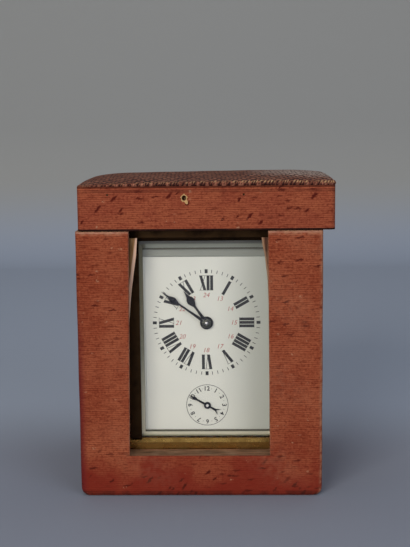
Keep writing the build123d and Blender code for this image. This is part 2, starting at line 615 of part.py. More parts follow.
def clock_base():
    """Moulded base, open beneath; its floor carries pillars, movement and the bell's post."""
    body = tier(0, CLOCK_LOW, PLINTH_TOP)
    body += taper(0, COVE_IN, PLINTH_TOP, (PLINTH_TOP + COVE_TOP) / 2)
    body += taper(COVE_IN, BAND_IN, (PLINTH_TOP + COVE_TOP) / 2, COVE_TOP)
    body += tier(BAND_IN, COVE_TOP, BAND_TOP)
    body += taper(BAND_IN, BAND_IN + BEVEL_IN, BAND_TOP, BASE_TOP)
    body -= span((CLOCK_X - BASE_HALF_X + POCKET_SIDE, CLOCK_X + BASE_HALF_X - POCKET_SIDE),
                 (BASE_FRONT + POCKET_END + COVE_IN / 2, BASE_BACK - POCKET_END - COVE_IN / 2),
                 (CLOCK_LOW - BOARD, POCKET_TOP))
    body -= fit(span((at_clock(HAMMER_SLOT_X[0]), at_clock(HAMMER_SLOT_X[1])),
                     (ESCAPE_AXIS_Y - HAMMER_SLOT_Y, ESCAPE_AXIS_Y + HAMMER_SLOT_Y),
                     (ROOM_LOW - BASE_FLOOR_T - BOARD, ROOM_LOW + BOARD)))
    body += fit(bell_post())
    x, y, lo, hi = door_pins()[0]
    return body - bore("Z", x, y, DOOR_PIN_R + RUN_GAP, lo - DOOR_GAP, hi + BOARD)


def clock_cornice():
    """Moulded top with a light for the top pane."""
    inset = BAND_IN + BEVEL_IN
    body = taper(inset, inset - CORNICE_FLARE, CORNICE_LOW, CORNICE_BAND)
    body += tier(inset - CORNICE_FLARE, CORNICE_BAND, CORNICE_CAP)
    body += taper(inset - CORNICE_FLARE, CAP_IN + inset, CORNICE_CAP, CORNICE_TOP)
    light = (TOP_GLASS_X - TOP_LIGHT_IN, TOP_GLASS_Y - TOP_LIGHT_IN)
    body -= span((CLOCK_X - light[0], CLOCK_X + light[0]),
                 (BAIL_Y - light[1], BAIL_Y + light[1]),
                 (CORNICE_LOW - BOARD, CORNICE_TOP + BOARD))
    body -= span((CLOCK_X - TOP_GLASS_X, CLOCK_X + TOP_GLASS_X),
                 (BAIL_Y - TOP_GLASS_Y, BAIL_Y + TOP_GLASS_Y),
                 (TOP_GLASS_SEAT, CORNICE_TOP + BOARD))
    x, y, lo, hi = door_pins()[1]
    return body - bore("Z", x, y, DOOR_PIN_R + RUN_GAP, lo - BOARD, hi + DOOR_GAP)


def bail():
    """A flat-sided U-shaped handle lying forward on the top, with turned-in pivots."""
    x, far, r = BAIL_HALF, BAIL_Y - BAIL_REACH, BAIL_ROD_R
    outline = Polyline((CLOCK_X - x - r, BAIL_Y), (CLOCK_X - x - r, far - r),
                       (CLOCK_X + x + r, far - r), (CLOCK_X + x + r, BAIL_Y),
                       (CLOCK_X + x - r, BAIL_Y), (CLOCK_X + x - r, far + r),
                       (CLOCK_X - x + r, far + r), (CLOCK_X - x + r, BAIL_Y), close=True)
    body = extrude(Plane.XY.offset(BAIL_Z - r) * make_face(outline), amount=2 * r)
    uprights = body.edges().filter_by(Axis.Z).sort_by(Axis.Y)
    outer = [e for e in uprights if e.center().Y < far and abs(e.center().Y - far) > r / 2]
    body = fillet(outer, BAIL_CORNER_R)
    inner = [e for e in body.edges().filter_by(Axis.Z)
             if abs(e.center().Y - far - r) < r / 2 and abs(e.center().X - CLOCK_X) < x]
    body = fillet(inner, BAIL_CORNER_R - 2 * r)
    for s in (-1, 1):
        arm = CLOCK_X + s * x
        body += bar("X", BAIL_Y, BAIL_Z, r, min(arm - s * r, arm + s * r),
                    max(arm - s * r, arm + s * r))
        ends = sorted((arm, arm - s * (r + POST_INNER_GAP + POST_W)))
        body += rod("X", BAIL_Y, BAIL_Z, TRUNNION_R, *ends)
    return body


def bail_posts():
    """Two equal posts on the cornice that hold the handle's pivots."""
    out = []
    for s in (-1, 1):
        inner = CLOCK_X + s * (BAIL_HALF - BAIL_ROD_R - POST_INNER_GAP - POST_W)
        outer = CLOCK_X + s * (BAIL_HALF - BAIL_ROD_R - POST_INNER_GAP)
        lo, hi = min(inner, outer), max(inner, outer)
        post = bar("X", BAIL_Y, BAIL_Z, POST_R, lo, hi, KNUCKLE_SIDES)
        post += span((lo, hi), (BAIL_Y - POST_R, BAIL_Y + POST_R), (CORNICE_TOP, BAIL_Z))
        out.append(post - bore("X", BAIL_Y, BAIL_Z, TRUNNION_R + PIVOT_GAP, lo, hi))
    return out


# Dial and hands.
def clock_dial():
    """Enamelled dial plate with four feet that reach the front plate."""
    body = span((at_clock(-DIAL_HALF), at_clock(DIAL_HALF)),
                (DIAL_FRONT, DIAL_FRONT + DIAL_T), (DIAL_LOW, DIAL_HIGH))
    for x, z in DIAL_FEET:
        body += span((at_clock(x - FOOT_R), at_clock(x + FOOT_R)),
                     (DIAL_FRONT + DIAL_T / 2, FRONT_PLATE), (z - FOOT_R, z + FOOT_R))
    back = DIAL_FRONT + DIAL_T + BOARD
    body -= bar("Y", CLOCK_X, DIAL_Z, DIAL_HOLE_R, DIAL_FRONT - BOARD, back)
    return body - bar("Y", CLOCK_X, ALARM_Z, ALARM_HOLE_R, DIAL_FRONT - BOARD, back)


def hand_points(length, shares):
    """Outline of a hand that points up, from its shares of the length."""
    right = [(w, s * length) for s, w in shares]
    left = [(-w, z) for w, z in reversed(right)]
    return [(shares[0][1], 0), *right, (0, length), *left, (-shares[0][1], 0)]


def turned(points, clock_degrees, centre):
    """Points turned clockwise for the dial's reader, then moved to a centre."""
    a = math.radians(clock_degrees)
    c, s = math.cos(a), math.sin(a)
    return [(centre[0] + x * c + z * s, centre[1] - x * s + z * c) for x, z in points]


def hour_hand():
    """Spade hour hand with its boss, pressed on the hour pipe."""
    y = HOUR_HAND_Y
    blade = prism_y(turned(hand_points(HOUR_LENGTH, HOUR_SHARES), HOUR_ANGLE,
                           (CLOCK_X, DIAL_Z)), y, y + HAND_T)
    blade += bar("Y", CLOCK_X, DIAL_Z, HOUR_BOSS_R, y, y + HAND_T, DISC_SIDES)
    return blade - bar("Y", CLOCK_X, DIAL_Z, HOUR_PIPE_R, y - BOARD, y + BOARD)


def minute_hand():
    """Spade minute hand with its boss and domed collet, pressed on the cannon pipe."""
    y = MINUTE_HAND_Y
    blade = prism_y(turned(hand_points(MINUTE_LENGTH, MINUTE_SHARES), MINUTE_ANGLE,
                           (CLOCK_X, DIAL_Z)), y, y + HAND_T)
    blade += bar("Y", CLOCK_X, DIAL_Z, MINUTE_BOSS_R, y, y + HAND_T, DISC_SIDES)
    return blade - bar("Y", CLOCK_X, DIAL_Z, CANNON_PIPE_R, y - BOARD, y + BOARD)


def alarm_hand():
    """Alarm hand with a swallow tail, pressed on the alarm arbor."""
    y, centre = ALARM_HAND_Y, (CLOCK_X, ALARM_Z)
    blade = prism_y(turned(hand_points(ALARM_LENGTH, ALARM_SHARES), ALARM_ANGLE, centre),
                    y, y + HAND_T)
    right = [(w, s * ALARM_TAIL) for s, w in TAIL_SHARES]
    left = [(-w, z) for w, z in reversed(right)]
    tail = [(TAIL_SHARES[0][1], 0), *right, (0, TAIL_NOTCH_SHARE * ALARM_TAIL), *left,
            (-TAIL_SHARES[0][1], 0)]
    blade += prism_y(turned(tail, ALARM_ANGLE + math.degrees(math.pi), centre), y, y + HAND_T)
    blade += bar("Y", CLOCK_X, ALARM_Z, ALARM_BOSS_R, y, y + HAND_T, DISC_SIDES)
    return blade - bar("Y", CLOCK_X, ALARM_Z, ARBOR_R, y - BOARD, y + BOARD)


# Places in the movement.
def places():
    """Row (x, z) of every arbor that runs along Y."""
    centre = (CLOCK_X, DIAL_Z)
    third = mesh_centre(centre, CENTRE_N, THIRD_PINION_N, CENTRE_MODULE, THIRD_BEARING)
    return {
        "centre": centre,
        "minute": mesh_centre(centre, CANNON_N, MINUTE_N, MOTION_MODULE, MINUTE_BEARING),
        "idler": (CLOCK_X, DIAL_Z - (HOUR_N + IDLER_N) * MOTION_MODULE / 2),
        "alarm": (CLOCK_X, ALARM_Z),
        "barrel": mesh_centre(centre, CENTRE_PINION_N, BARREL_N, BARREL_MODULE,
                              BARREL_BEARING),
        "third": third,
        "contrate": mesh_centre(third, THIRD_N, CONTRATE_PINION_N, THIRD_MODULE,
                                CONTRATE_BEARING),
        "drum": (at_clock(ALARM_DRUM[0]), ALARM_DRUM[1]),
        "hammer": (at_clock(HAMMER_PIVOT[0]), HAMMER_PIVOT[1]),
    }


def bearing(a, b):
    """Direction from one place to another."""
    return math.degrees(math.atan2(b[1] - a[1], b[0] - a[0]))


def gap_phase(teeth, towards):
    """Phase that turns a gap, and not a tooth, towards a bearing."""
    return towards + 360 / teeth / 2


def gear_y(outline, levels):
    """A toothed wheel along Y."""
    return prism_y(outline, levels[0], levels[1])


# Motion work.
def motion_work():
    """Cannon pinion, minute wheel, hour wheel, idler and alarm wheel, all in mesh."""
    at = places()
    m, c = MOTION_MODULE, at["centre"]
    out = {}
    to_minute = bearing(c, at["minute"])
    cannon = gear_y(pinion_outline(CANNON_N, m, c, gap_phase(CANNON_N, to_minute)), CANNON_Y)
    cannon += bar("Y", c[0], c[1], CANNON_PIPE_R, CANNON_FRONT, CANNON_Y[1])
    out["cannon_pinion"] = cannon - bore("Y", c[0], c[1], ARBOR_R + RUN_GAP,
                                        CANNON_FRONT - BOARD, CANNON_Y[1] + BOARD)
    mw, back = at["minute"], to_minute + math.degrees(math.pi)
    minute = gear_y(wheel_outline(MINUTE_N, m, mw, back), MINUTE_WHEEL_Y)
    minute += gear_y(pinion_outline(MINUTE_PINION_N, m, mw, gap_phase(MINUTE_PINION_N, back)),
                     MINUTE_PINION_Y)
    out["minute_wheel"] = minute - bore("Y", mw[0], mw[1], STUD_R + RUN_GAP,
                                       MINUTE_PINION_Y[0] - BOARD, MINUTE_WHEEL_Y[1] + BOARD)
    hour = gear_y(wheel_outline(HOUR_N, m, c, to_minute), HOUR_WHEEL_Y)
    hour += bar("Y", c[0], c[1], HOUR_PIPE_R, HOUR_PIPE_FRONT, HOUR_WHEEL_Y[1])
    out["hour_wheel"] = hour - bore("Y", c[0], c[1], CANNON_PIPE_R + RUN_GAP,
                                   HOUR_PIPE_FRONT - BOARD, HOUR_WHEEL_Y[1] + BOARD)
    i, a = at["idler"], at["alarm"]
    down = bearing(c, i)
    idler = gear_y(wheel_outline(IDLER_N, m, i, gap_phase(IDLER_N, down)), HOUR_WHEEL_Y)
    out["idler_wheel"] = idler - bore("Y", i[0], i[1], STUD_R + RUN_GAP,
                                     HOUR_WHEEL_Y[0] - BOARD, HOUR_WHEEL_Y[1] + BOARD)
    alarm = gear_y(wheel_outline(ALARM_N, m, a, down), HOUR_WHEEL_Y)
    out["alarm_wheel"] = alarm - bore("Y", a[0], a[1], ARBOR_R + RUN_GAP,
                                     HOUR_WHEEL_Y[0] - BOARD, HOUR_WHEEL_Y[1] + BOARD)
    return out


# Going train.
def barrel_parts():
    """Toothed spring barrel, its arbor with ratchet and winding square, and the spring."""
    b = places()["barrel"]
    to_centre = bearing(b, places()["centre"])
    lo, hi = BARREL_DRUM_Y
    drum = gear_y(wheel_outline(BARREL_N, BARREL_MODULE, b, to_centre), BARREL_TOOTH_Y)
    drum += bar("Y", b[0], b[1], BARREL_DRUM_R, lo, hi, DISC_SIDES)
    drum -= bar("Y", b[0], b[1], BARREL_DRUM_R - BARREL_WALL, lo, hi - BARREL_WALL, DISC_SIDES)
    drum -= bore("Y", b[0], b[1], ARBOR_R + ARBOR_R / 2 + RUN_GAP, BARREL_TOOTH_Y[0] - BOARD,
                hi + BOARD)
    arbor = bar("Y", b[0], b[1], ARBOR_R + ARBOR_R / 2, BARREL_TOOTH_Y[0] - ARBOR_R,
                BACK_PLATE - RUN_GAP)
    arbor += bar("Y", b[0], b[1], CORE_R, lo + RUN_GAP * 2, hi - BARREL_WALL - RUN_GAP * 2)
    arbor += bar("Y", b[0], b[1], ARBOR_R, FRONT_PLATE, RATCHET_Y[1])
    teeth = saw_points(RATCHET_N, RATCHET_ROOT, RATCHET_TIP, b, 0)
    arbor += prism_y(teeth, RATCHET_Y[0], RATCHET_Y[1])
    arbor += square_end(b, RATCHET_Y[1])
    return {"spring_barrel": drum, "barrel_arbor": arbor, "mainspring": mainspring(b)}


def square_end(centre, start):
    """A winding square at the back."""
    s = SQUARE_HALF
    return span((centre[0] - s, centre[0] + s), (start, REAR_SQUARE_END),
                (centre[1] - s, centre[1] + s))


def coil_points(turns, sides, start_r, end_r, thick, centre):
    """Outline of a flat spiral strip made of short straight runs."""
    count = turns * sides
    inner, outer = [], []
    for k in range(count + 1):
        r = start_r + (end_r - start_r) * k / count
        degrees = math.degrees(2 * math.pi) * k / sides
        inner.append(polar(r, degrees, centre))
        outer.append(polar(r + thick, degrees, centre))
    return inner + list(reversed(outer))


def mainspring(b):
    """The wound strip inside the barrel."""
    points = coil_points(SPRING_TURNS, SPRING_SIDES, SPRING_IN_R, SPRING_OUT_R, SPRING_T, b)
    margin = BARREL_WALL / 2
    return prism_y(points, BARREL_DRUM_Y[0] + margin, BARREL_DRUM_Y[1] - BARREL_WALL - margin)


def click():
    """The ratchet's click, resting just above a tooth's tip, on the back plate's stud."""
    b = places()["barrel"]
    pivot = (b[0] + CLICK_PIVOT[0], b[1] + CLICK_PIVOT[1])
    angle = CLICK_TOOTH * 360 / RATCHET_N
    tip = polar(RATCHET_TIP + CLICK_CLEAR, angle, b)
    over = polar(RATCHET_TIP + CLICK_CLEAR + CLICK_NOSE, angle, b)
    across = bearing(tip, pivot) + math.degrees(math.pi / 2)
    upper = polar(CLICK_W, across, pivot)
    lower = polar(-CLICK_W, across, pivot)
    arm = prism_y([tip, lower, upper, over], RATCHET_Y[0], RATCHET_Y[1])
    arm += bar("Y", pivot[0], pivot[1], CLICK_R, RATCHET_Y[0], RATCHET_Y[1])
    return arm - bore("Y", pivot[0], pivot[1], STUD_R + RUN_GAP, RATCHET_Y[0] - BOARD,
                      RATCHET_Y[1] + BOARD)


def centre_wheel():
    """Centre wheel and pinion on the arbor that carries the cannon pinion."""
    at = places()
    c = at["centre"]
    to_third, to_barrel = bearing(c, at["third"]), bearing(c, at["barrel"])
    body = gear_y(wheel_outline(CENTRE_N, CENTRE_MODULE, c, to_third), CENTRE_WHEEL_Y)
    body += gear_y(pinion_outline(CENTRE_PINION_N, BARREL_MODULE, c,
                                  gap_phase(CENTRE_PINION_N, to_barrel)), CENTRE_PINION_Y)
    return body + bar("Y", c[0], c[1], ARBOR_R, CENTRE_FRONT, BACK_PLATE + PLATE_T + PLATE_T)


def third_wheel():
    """Third wheel and pinion on one arbor."""
    at = places()
    t = at["third"]
    to_centre, to_contrate = bearing(t, at["centre"]), bearing(t, at["contrate"])
    body = gear_y(wheel_outline(THIRD_N, THIRD_MODULE, t, to_contrate), THIRD_WHEEL_Y)
    body += gear_y(pinion_outline(THIRD_PINION_N, CENTRE_MODULE, t,
                                  gap_phase(THIRD_PINION_N, to_centre)), THIRD_PINION_Y)
    return body + bar("Y", t[0], t[1], THIN_ARBOR_R, FRONT_PLATE, BACK_PLATE + PLATE_T)


def crown_teeth(centre, count, radius, width, share, phase, levels):
    """Teeth that stand along Y on a wheel's rim, as a list."""
    teeth, half = [], 360 / count * share / 2
    inner, outer = radius - width / 2, radius + width / 2
    for i in range(count):
        mid = phase + i * 360 / count
        points = [polar(inner, mid - half, centre), polar(outer, mid - half, centre),
                  polar(outer, mid + half, centre), polar(inner, mid + half, centre)]
        teeth.append(prism_y(points, levels[0], levels[1]))
    return teeth


def contrate_wheel():
    """Crown-toothed wheel that turns the train's motion to the upright escape arbor."""
    at = places()
    k = at["contrate"]
    radius = CONTRATE_N * CONTRATE_MODULE / 2
    rim = radius + CONTRATE_TOOTH_W / 2 + RUN_GAP * 4
    body = bar("Y", k[0], k[1], rim, *CONTRATE_WHEEL_Y, DISC_SIDES)
    to_third = bearing(k, at["third"])
    body += gear_y(pinion_outline(CONTRATE_PINION_N, THIRD_MODULE, k,
                                  gap_phase(CONTRATE_PINION_N, to_third)), CONTRATE_PINION_Y)
    body += bar("Y", k[0], k[1], THIN_ARBOR_R, FRONT_PLATE, BACK_PLATE + PLATE_T)
    teeth = crown_teeth(k, CONTRATE_N, radius, CONTRATE_TOOTH_W, CONTRATE_TOOTH_SHARE,
                        90, (CONTRATE_WHEEL_Y[1] - RUN_GAP, CONTRATE_TOOTH_END))
    return body + teeth


# Movement frame.
def arbor_holes():
    """Places and hole radii of the arbors that a plate carries."""
    at = places()
    holes = [(at["centre"], ARBOR_R), (at["third"], THIN_ARBOR_R),
             (at["contrate"], THIN_ARBOR_R), (at["alarm"], ARBOR_R), (at["drum"], ARBOR_R),
             (at["barrel"], ARBOR_R), (at["hammer"], HAMMER_ARM_R)]
    return holes


def movement_plate(front):
    """One brass plate with its holes; the studs it carries are riveted in."""
    y = FRONT_PLATE if front else BACK_PLATE
    body = span((at_clock(-PLATE_HALF), at_clock(PLATE_HALF)), (y, y + PLATE_T),
                (ROOM_LOW, PLATE_TOP))
    for (x, z), r in arbor_holes():
        body -= bore("Y", x, z, r + RUN_GAP, y - BOARD, y + BOARD)
    at = places()
    if front:
        for name in ("minute", "idler"):
            x, z = at[name]
            body += bar("Y", x, z, STUD_R, MINUTE_PINION_Y[0] - SQUARE_HALF / 2, y)
    else:
        b = at["barrel"]
        body += bar("Y", b[0] + CLICK_PIVOT[0], b[1] + CLICK_PIVOT[1], STUD_R, y + PLATE_T,
                    RATCHET_Y[1] + SQUARE_HALF)
    return body


def plate_pillars():
    """Four equal pillars that hold the plates apart."""
    return [bar("Y", at_clock(x), z, PLATE_PILLAR_R, FRONT_PLATE + PLATE_T, BACK_PLATE)
            for x, z in PLATE_PILLARS]


# Alarm.
def alarm_arbor():
    """Arbor of the alarm hand, from the hand through both plates to its rear square."""
    a = places()["alarm"]
    body = bar("Y", a[0], a[1], ARBOR_R, ALARM_HAND_Y - HAND_T, RATCHET_Y[0])
    return body + square_end(a, RATCHET_Y[0])


def alarm_drum():
    """Alarm spring drum with the crown teeth that knock the hammer."""
    d = places()["drum"]
    lo, hi = ALARM_DRUM_Y
    body = bar("Y", d[0], d[1], ALARM_DRUM_R, lo, hi, DISC_SIDES)
    body += bar("Y", d[0], d[1], ARBOR_R, FRONT_PLATE, RATCHET_Y[0])
    body += square_end(d, RATCHET_Y[0])
    radius = ALARM_DRUM_R - VERGE_TOOTH_W / 2
    return body + crown_teeth(d, VERGE_N, radius, VERGE_TOOTH_W, VERGE_SHARE, 0,
                              (lo - VERGE_H, lo + RUN_GAP))


def bell_side():
    """X where the hammer's head starts, just clear of the bell's rim."""
    return CLOCK_X + BELL_R + BELL_GAP


def hammer():
    """Alarm hammer: arbor, arm with its head down beside the bell, and a tail."""
    h = places()["hammer"]
    y = ESCAPE_AXIS_Y
    body = bar("Y", h[0], h[1], HAMMER_ARM_R, FRONT_PLATE, BACK_PLATE + PLATE_T)
    head_x = bell_side()
    arm_x = head_x + HAMMER_HEAD_L / 2
    w = HAMMER_ARM_R
    arm = [(h[0] - w, h[1]), (arm_x - w, HAMMER_Z), (arm_x + w, HAMMER_Z), (h[0] + w, h[1])]
    body += prism_y(arm, y - w, y + w)
    body += bar("X", y, HAMMER_Z, HAMMER_HEAD_R, head_x, head_x + HAMMER_HEAD_L)
    end = polar(HAMMER_TAIL, HAMMER_TAIL_ANGLE, h)
    side = polar(w, HAMMER_TAIL_ANGLE - 90)
    lo = ALARM_DRUM_Y[0] - VERGE_H
    tail = [(h[0] + side[0], h[1] + side[1]), (h[0] - side[0], h[1] - side[1]),
            (end[0] - side[0], end[1] - side[1]), (end[0] + side[0], end[1] + side[1])]
    return body + prism_y(tail, lo, lo + VERGE_H)


def bell_post():
    """Post and nut that hang the bell under the base's floor."""
    nut_top = BELL_TOP - BELL_T
    post = bar("Z", CLOCK_X, BELL_Y, BELL_POST_R, nut_top, BELL_TOP)
    post += bar("Z", CLOCK_X, BELL_Y, BELL_NUT_R, nut_top - BELL_NUT_H, nut_top)
    return post + bar("Z", CLOCK_X, BELL_Y, BELL_NUT_R, BELL_TOP, ROOM_LOW - BASE_FLOOR_T)


def bell():
    """Cup bell under the base's floor, on its post with a nut."""
    z0, z1, t = BELL_LOW, BELL_TOP, BELL_T
    shoulder = BELL_R - BELL_SHOULDER
    profile = [(BELL_R - t, z0), (BELL_R, z0), (shoulder, z1), (0, z1), (0, z1 - t),
               (shoulder - t / 2, z1 - t)]
    wire = Wire.make_polygon([Vector(r, 0, z) for r, z in profile], close=True)
    cup = Pos(CLOCK_X, BELL_Y, 0) * revolve(Face(wire), Axis.Z, 360)
    return cup - bar("Z", CLOCK_X, BELL_Y, BELL_POST_R, z0, z1)


# Platform escapement.
def platform():
    """Platform plate on the plates' tops with the escape arbor's hanging foot and bridge."""
    x0, x1 = at_clock(PLATFORM_X[0]), at_clock(PLATFORM_X[1])
    y0, y1 = FRONT_PLATE, BACK_PLATE + PLATE_T
    top = PLATE_TOP + PLATFORM_T
    ex, y = at_clock(ESCAPE_X), ESCAPE_AXIS_Y
    w = PLATE_PILLAR_R
    body = span((x0, x1), (y0, y1), (PLATE_TOP, top))
    body += span((ex - w, ex + w), (y - THIN_ARBOR_R, y + w + w), ESCAPE_FOOT_Z)
    body += span((ex - w, ex + w), (y + w, y + w + w), (ESCAPE_FOOT_Z[0], PLATE_TOP))
    body -= bore("Z", ex, y, FINE_ARBOR_R + RUN_GAP, ESCAPE_FOOT_Z[0], top)
    body -= bar("Z", ex, y, w * 3 / 4, ESCAPE_FOOT_Z[1], top)
    for x in (LEVER_X, BALANCE_X):
        body -= bore("Z", at_clock(x), y, FINE_ARBOR_R + RUN_GAP, PLATE_TOP, top)
    return body


def bridge():
    """Bridge over the escape wheel and the lever, on one foot behind them."""
    y, w = ESCAPE_AXIS_Y, PLATE_PILLAR_R
    lx, ex = at_clock(LEVER_X), at_clock(ESCAPE_X)
    top = PLATE_TOP + PLATFORM_T
    z = (BRIDGE_Z, BRIDGE_Z + BRIDGE_T)
    foot_y = (y + ESCAPE_R + w, y + ESCAPE_R + w + w)
    body = span((lx + w, ex + w), foot_y, (top, z[1]))
    body += span((ex - THIN_ARBOR_R, ex + w), (y - w / 2, foot_y[0]), z)
    body += span((lx - w / 2, ex), (y - w / 2, y + w / 2), z)
    for x in (lx, ex):
        body -= bore("Z", x, y, FINE_ARBOR_R + RUN_GAP, z[0] - BOARD, z[1] + BOARD)
    return body


def balance_cock():
    """Cock over the balance on a foot in front of it."""
    x, y = at_clock(BALANCE_X), ESCAPE_AXIS_Y
    top = PLATE_TOP + PLATFORM_T
    lo, hi = COCK_POST_Y
    body = span((x - COCK_HALF, x + COCK_HALF), (lo, hi), (top, COCK_Z + COCK_T))
    body += span((x - COCK_HALF, x + COCK_HALF), (hi, y + COCK_HALF), (COCK_Z, COCK_Z + COCK_T))
    body -= bore("Z", x, y, FINE_ARBOR_R + RUN_GAP, COCK_Z - BOARD, COCK_Z + BOARD)
    stud_y = y - HAIR_OUT_R - HAIR_T - THIN_ARBOR_R * 2
    return body + bar("Z", x, stud_y, THIN_ARBOR_R, HAIRSPRING_Z[0], COCK_Z)


def escape_wheel():
    """Escape wheel and pinion on the upright arbor."""
    x, y = at_clock(ESCAPE_X), ESCAPE_AXIS_Y
    wheel = prism_z(gear_points(ESCAPE_N, ESCAPE_ROOT_R, ESCAPE_R, ESCAPE_SHARES, (x, y), 180),
                    *ESCAPE_WHEEL_Z)
    pinion = prism_z(pinion_outline(ESCAPE_PINION_N, CONTRATE_MODULE, (x, y),
                                    gap_phase(ESCAPE_PINION_N, -90)), *ESCAPE_PINION_Z)
    return wheel + pinion + bar("Z", x, y, FINE_ARBOR_R, ESCAPE_FOOT_Z[0], ESCAPE_TOP_Z)


def lever():
    """Straight-line lever at its middle, pallets just clear of the escape wheel's tips."""
    x, y = at_clock(LEVER_X), ESCAPE_AXIS_Y
    ex = at_clock(ESCAPE_X)
    half = LEVER_ARM_W / 2
    fork_end = x - FORK_L
    z = LEVER_Z
    body = span((fork_end + NOTCH_L, x), (y - half, y + half), z)
    fork = span((fork_end, fork_end + NOTCH_L * 2), (y - FORK_W / 2, y + FORK_W / 2), z)
    body += fork - span((fork_end - NOTCH_L, fork_end + NOTCH_L),
                        (y - NOTCH_W / 2, y + NOTCH_W / 2), z)
    face = ESCAPE_R + PALLET_CLEAR
    for s in (-1, 1):
        away = 180 - s * PALLET_ANGLE
        tip = polar(face, away, (ex, y))
        root = polar(face + PALLET_L, away, (ex, y))
        across = polar(PALLET_W / 2, away + 90)
        stone = [(tip[0] - across[0], tip[1] - across[1]), (tip[0] + across[0], tip[1] + across[1]),
                 (root[0] + across[0], root[1] + across[1]),
                 (root[0] - across[0], root[1] - across[1])]
        body += prism_z(stone, *z)
        mid = polar(face + PALLET_L * 3 / 4, away, (ex, y))
        arm = [(x - half, y - s * half), (x + half, y - s * half),
               (mid[0] + half, mid[1]), (mid[0] - half, mid[1] + s * half / 2)]
        body += prism_z(arm, *z)
    body += bar("Z", x, y, THIN_ARBOR_R, *z)
    return body + bar("Z", x, y, FINE_ARBOR_R, PLATE_TOP, BRIDGE_Z + BRIDGE_T)


def balance():
    """Balance wheel with three arms, staff, roller and hairspring collet."""
    x, y = at_clock(BALANCE_X), ESCAPE_AXIS_Y
    lo, hi = BALANCE_Z
    body = bar("Z", x, y, BALANCE_R, lo, hi, DISC_SIDES)
    body -= bar("Z", x, y, BALANCE_R - BALANCE_RIM, lo, hi, DISC_SIDES)
    for k in range(3):
        arm = span((0, BALANCE_R - BALANCE_RIM / 2), (-BALANCE_ARM / 2, BALANCE_ARM / 2), (lo, hi))
        body += Pos(x, y, 0) * Rot(0, 0, k * math.degrees(2 * math.pi) / 3) * arm
    body += bar("Z", x, y, ROLLER_R, *ROLLER_Z)
    body += bar("Z", x, y, HAIR_IN_R - RUN_GAP * 6, HAIRSPRING_Z[0], HAIRSPRING_Z[1])
    body += bar("Z", x, y, THIN_ARBOR_R, ROLLER_Z[0], COCK_Z - RUN_GAP * 4)
    return body + bar("Z", x, y, FINE_ARBOR_R, PLATE_TOP, STAFF_TOP)


def hairspring():
    """Flat spiral, its outer end at the stud under the cock."""
    centre = (at_clock(BALANCE_X), ESCAPE_AXIS_Y)
    points = coil_points(HAIR_TURNS, HAIR_SIDES, HAIR_IN_R, HAIR_OUT_R, HAIR_T, centre)
    return prism_z(points, *HAIRSPRING_Z)


# Export.
def carriage_clock():
    """Everything of the clock's own case; the panes cut their grooves."""
    front, sides = clock_panes()
    door, door_pane = rear_door()
    base, cornice = clock_base(), clock_cornice()
    half = PILLAR_W / 2
    pillars = [span((x - half, x + half), (y - half, y + half), (BASE_TOP, CORNICE_LOW))
               for x, y in pillar_spots()]
    for pane in (front, *sides):
        base -= pane
        cornice -= pane
        pillars = [p - pane for p in pillars]
    return {"clock_base": base, "clock_cornice": cornice, "clock_pillars": pillars,
            "front_glass": front, "side_glasses": sides, "top_glass": top_pane(),
            "rear_door_frame": door, "rear_door_glass": door_pane,
            "bail_handle": bail(), "bail_posts": bail_posts()}


def movement():
    """Everything between dial and back plate, and the platform."""
    return {"front_plate": movement_plate(True), "back_plate": movement_plate(False),
            "plate_pillars": plate_pillars(), **motion_work(), **barrel_parts(),
            "click": click(), "centre_wheel": centre_wheel(), "third_wheel": third_wheel(),
            "contrate_wheel": contrate_wheel(), "escape_wheel": escape_wheel(),
            "lever": lever(), "balance_wheel": balance(), "hairspring": hairspring(),
            "balance_cock": balance_cock(), "platform_plate": platform(),
            "lever_bridge": bridge(), "alarm_arbor": alarm_arbor(),
            "alarm_drum": alarm_drum(), "alarm_hammer": hammer(), "alarm_bell": bell()}


def all_nodes():
    """Every node of the row, by name."""
    nodes = {**case_boards(), "case_leather_cover": case_cover(),
             "left_guide_slat": slat(LEFT_SLAT_SHARES, -1), "right_guide_slat": slat(RIGHT_SLAT_SHARES, 1),
             "case_lining": case_lining(), **lid_parts(),
             "hinge_case_halves": hinge_halves(True), "hinge_lid_halves": hinge_halves(False)}
    nodes.update(carriage_clock())
    works = {"dial_plate": clock_dial(), "hour_hand": hour_hand(),
             "minute_hand": minute_hand(), "alarm_hand": alarm_hand(), **movement()}
    for name, shape in works.items():
        nodes[name] = ([fit(one) for one in shape] if isinstance(shape, list) else fit(shape))
    return nodes


def main():
    """Write one STEP file per node."""
    os.makedirs("parts", exist_ok=True)
    for name, shape in all_nodes().items():
        if isinstance(shape, list):
            shape = Compound(children=[s for one in shape for s in one.solids()])
        export_step(shape, os.path.join("parts", name + ".step"))


if __name__ == "__main__":
    main()
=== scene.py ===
"""Looks of a small travelling alarm clock in its leather case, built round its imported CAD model.

Fields and tables hold millimetres, and MM turns them into the metres of the frame.
+X is to the right of the dial's reader, +Y to the back, +Z up, and the dial faces -Y.
"""

import logging
import math
from dataclasses import dataclass, field
from enum import Enum

import bmesh
import bpy
import numpy as np
from mathutils import Matrix, Vector

